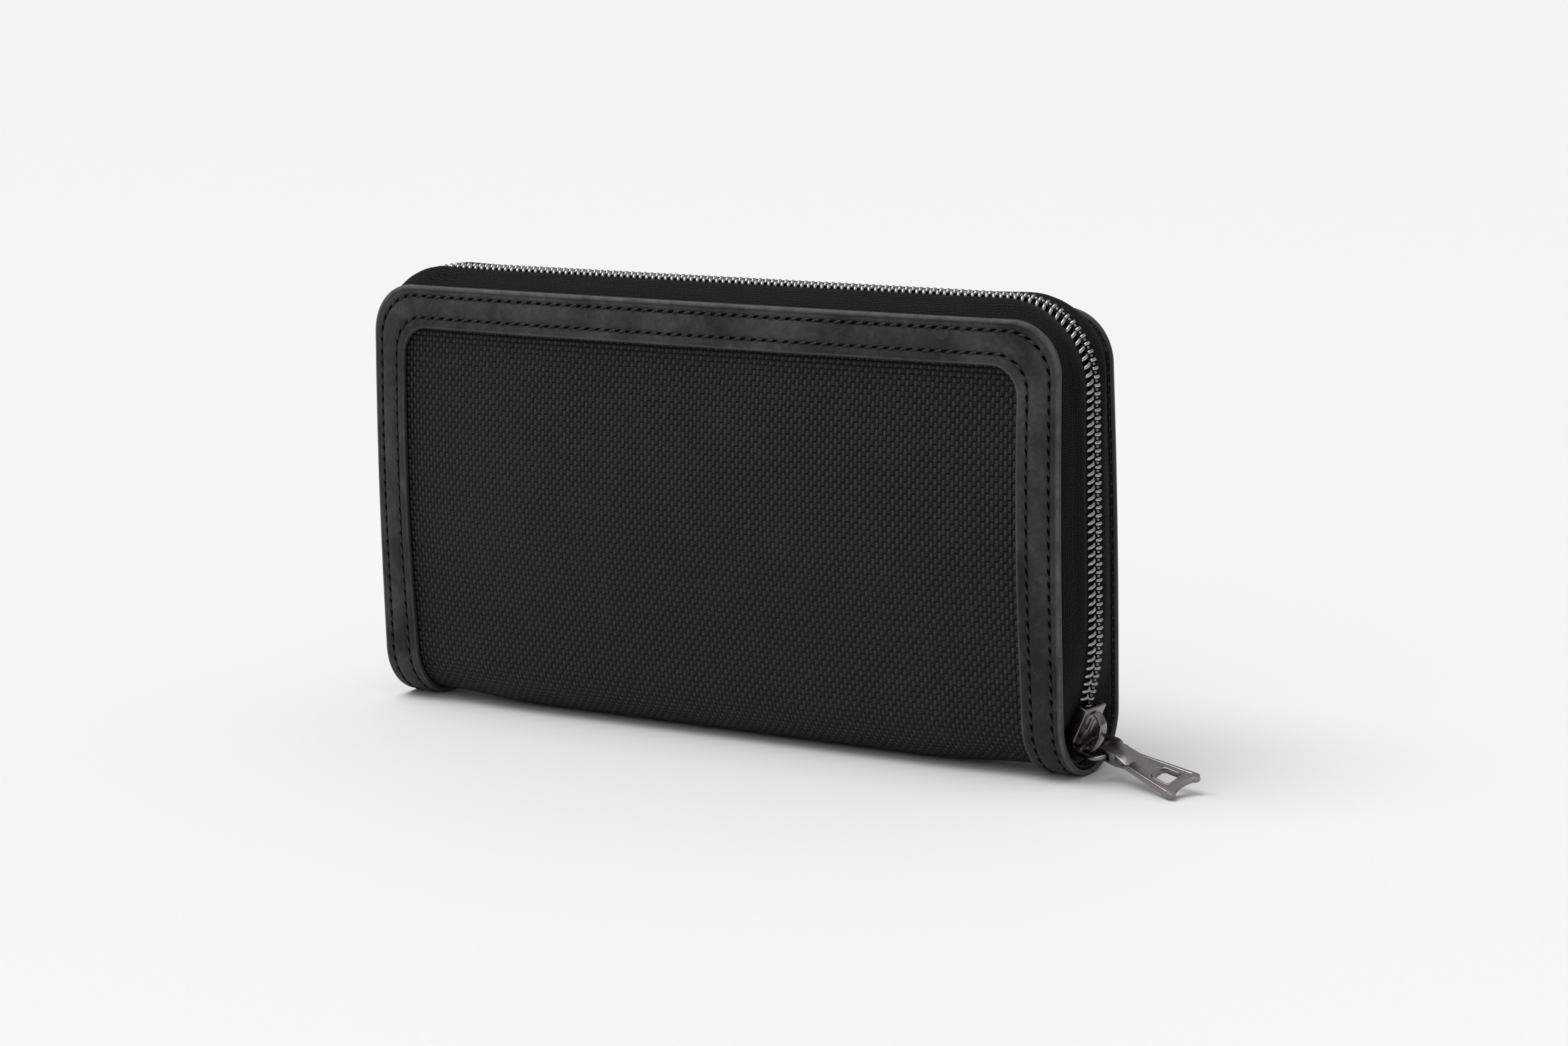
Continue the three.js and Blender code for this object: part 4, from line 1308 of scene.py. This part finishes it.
def makeLeaf():
    spec = leafSpec
    windowHalf, low, high = spec["window"]
    outer, top = spec["half"], spec["top"]
    rounded = [top - spec["corner"] * (1 - math.sin(math.pi / 2 * i / 6)) for i in range(7)]
    across = steps(-windowHalf, windowHalf, 50)
    xs = steps(-outer, -windowHalf, 6) + across + steps(windowHalf, outer, 6) + [outer]
    zs = steps(spec["bottom"], low, 26) + steps(low, high, 4) + [high] + rounded
    for word, side in sides.items():
        window = spec["window"] if side < 0 else None
        panel = leafSheet("leaf" + word.capitalize() + "Panel", side, xs, zs, "lining", window)
        thicken(panel, spec["skin"])
        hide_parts("leaf_" + word + "_panel")
        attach(panel, "leaf")
    xs = steps(-windowHalf, windowHalf, 60) + [windowHalf]
    for word, (z0, z1) in spec["tapes"].items():
        tape = leafSheet("leafTape" + word, -1, xs, [z0, mix(z0, z1, 0.5), z1], "tape", curved=False)
        thicken(tape, zipper["thickness"])
        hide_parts("leaf_zipper_tape_" + word.lower())
        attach(tape, "leaf")
        up = 1 if word == "Upper" else -1
        coil = spec["coil"]
        bm = bmesh.new()
        coilTurn(bm, "back")
        turn = Matrix(((0, 1, 0), (0, 0, -1), (up, 0, 0))).to_4x4() @ Matrix.Scale(coil["scale"], 4)
        count = int(2 * coil["half"] / coil["pitch"])
        places = [-coil["half"] + coil["pitch"] * (i + (0.5 if up > 0 else 0)) for i in range(count)]
        repeatShape(bm, [Matrix.Translation((x, -coil["face"], coil["height"])) @ turn for x in places])
        chain = finishPiece("leafCoil" + word, bm, ["coil"])
        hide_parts("leaf_zipper_coil_" + word.lower())
        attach(chain, "leaf")


# A leather binding folds round the leaf's sides and top.
def leafEdge(t, inset):
    spec = leafSpec
    u = 2 * min(t, 1 - t)
    sign = -1 if t < 0.5 else 1
    half, top, radius = spec["half"] - inset, spec["top"] - inset, spec["corner"] - inset
    if u < 0.45:
        x, z = half, mix(spec["binding"]["foot"], top - radius, u / 0.45)
    elif u < 0.55:
        turn = (u - 0.45) / 0.1 * math.pi / 2
        x, z = half - radius + radius * math.cos(turn), top - radius + radius * math.sin(turn)
    else:
        x, z = mix(half - radius, 0, (u - 0.55) / 0.45), top
    return Vector((sign * x, 0, z))


def makeLeafBinding():
    bm = bmesh.new()
    spec = leafSpec["binding"]
    face = leafSpec["skin"] + spec["stand"]
    reach = spec["reach"]
    near = [(reach, face - 0.2), (reach - 0.15, face), (0.6, face), (0.05, face - 0.25), (-0.28, face - 0.9)]
    section = near + [(-0.35, 0)] + [(inset, -y) for inset, y in reversed(near)] + [(reach, 0)]

    def ring(i):
        points = []
        for inset, y in section:
            edge = leafEdge(i / 180, inset)
            gap = math.copysign(leafGap(edge.z), y) if y else 0
            points.append(edge + Vector((0, y + gap, 0)))
        return points

    sweep(bm, 181, ring)
    binding = finishPiece("leafBinding", bm, ["pocketLeather"])
    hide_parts("leaf_rim")
    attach(binding, "leaf")


makeLeaf()
makeLeafBinding()
# the stiffening boards stay as the CAD has them
for nodeName in ("front_cover_board", "back_cover_board"):
    node = nodes[nodeName]
    node.data.materials.clear()
    node.data.materials.append(finishes["board"])
print("leaf finished")

stageSpec = {
    "floor": 30.0,  # metres
    "floorDrop": 0.05,
    "floorColour": (0.8, 0.8, 0.797),
    "world": {"high": (1.0, 1.0, 1.01), "low": (0.3, 0.3, 0.31)},
    "worldStrength": 0.62,
    "suns": {
        "keySun": {"from": (-0.62, -0.3, 1.6), "strength": 2.1, "angle": 45},
        "fillSun": {"from": (0.3, -1.4, 0.9), "strength": 0.35, "angle": 60},
    },
}


def makeStage(spec):
    bm = bmesh.new()
    bmesh.ops.create_grid(bm, x_segments=2, y_segments=2, size=spec["floor"] / 2 * 1000)
    bmesh.ops.translate(bm, vec=(0, 0, -spec["floorDrop"]), verts=bm.verts)
    floor = finishPiece("floor", bm, [], outward=False)
    material, tree, shader = newMaterial("paleFloor", 0.6, 0, 0.3)
    grain = remap(tree, noiseOf(tree, objectCoords(tree), 900.0, 3), 0.3, 0.7, 0.99, 1.01)
    value = tree.nodes.new("ShaderNodeHueSaturation")
    value.inputs["Color"].default_value = (*spec["floorColour"], 1)
    tree.links.new(grain, value.inputs["Value"])
    tree.links.new(value.outputs[0], shader.inputs["Base Color"])
    floor.data.materials.append(material)
    world = bpy.data.worlds.new("studio")
    scene.world = world
    world.use_nodes = True
    tree = world.node_tree
    sky = tree.nodes.new("ShaderNodeSeparateXYZ")
    tree.links.new(tree.nodes.new("ShaderNodeTexCoord").outputs["Generated"], sky.inputs[0])
    height = remap(tree, sky.outputs[2], 0.05, 0.75, smooth=True)
    colour = blendColours(tree, height, spec["world"]["low"], spec["world"]["high"])
    tree.links.new(colour, tree.nodes["Background"].inputs["Color"])
    tree.nodes["Background"].inputs["Strength"].default_value = spec["worldStrength"]
    for name, sun in spec["suns"].items():
        light = bpy.data.objects.new(name, bpy.data.lights.new(name, "SUN"))
        light.data.energy = sun["strength"]
        light.data.angle = math.radians(sun["angle"])
        light.rotation_mode = "QUATERNION"
        light.rotation_quaternion = Vector(sun["from"]).to_track_quat("Z", "Y")
        scene.collection.objects.link(light)


makeStage(stageSpec)
print("stage set")

bpy.context.view_layer.update()
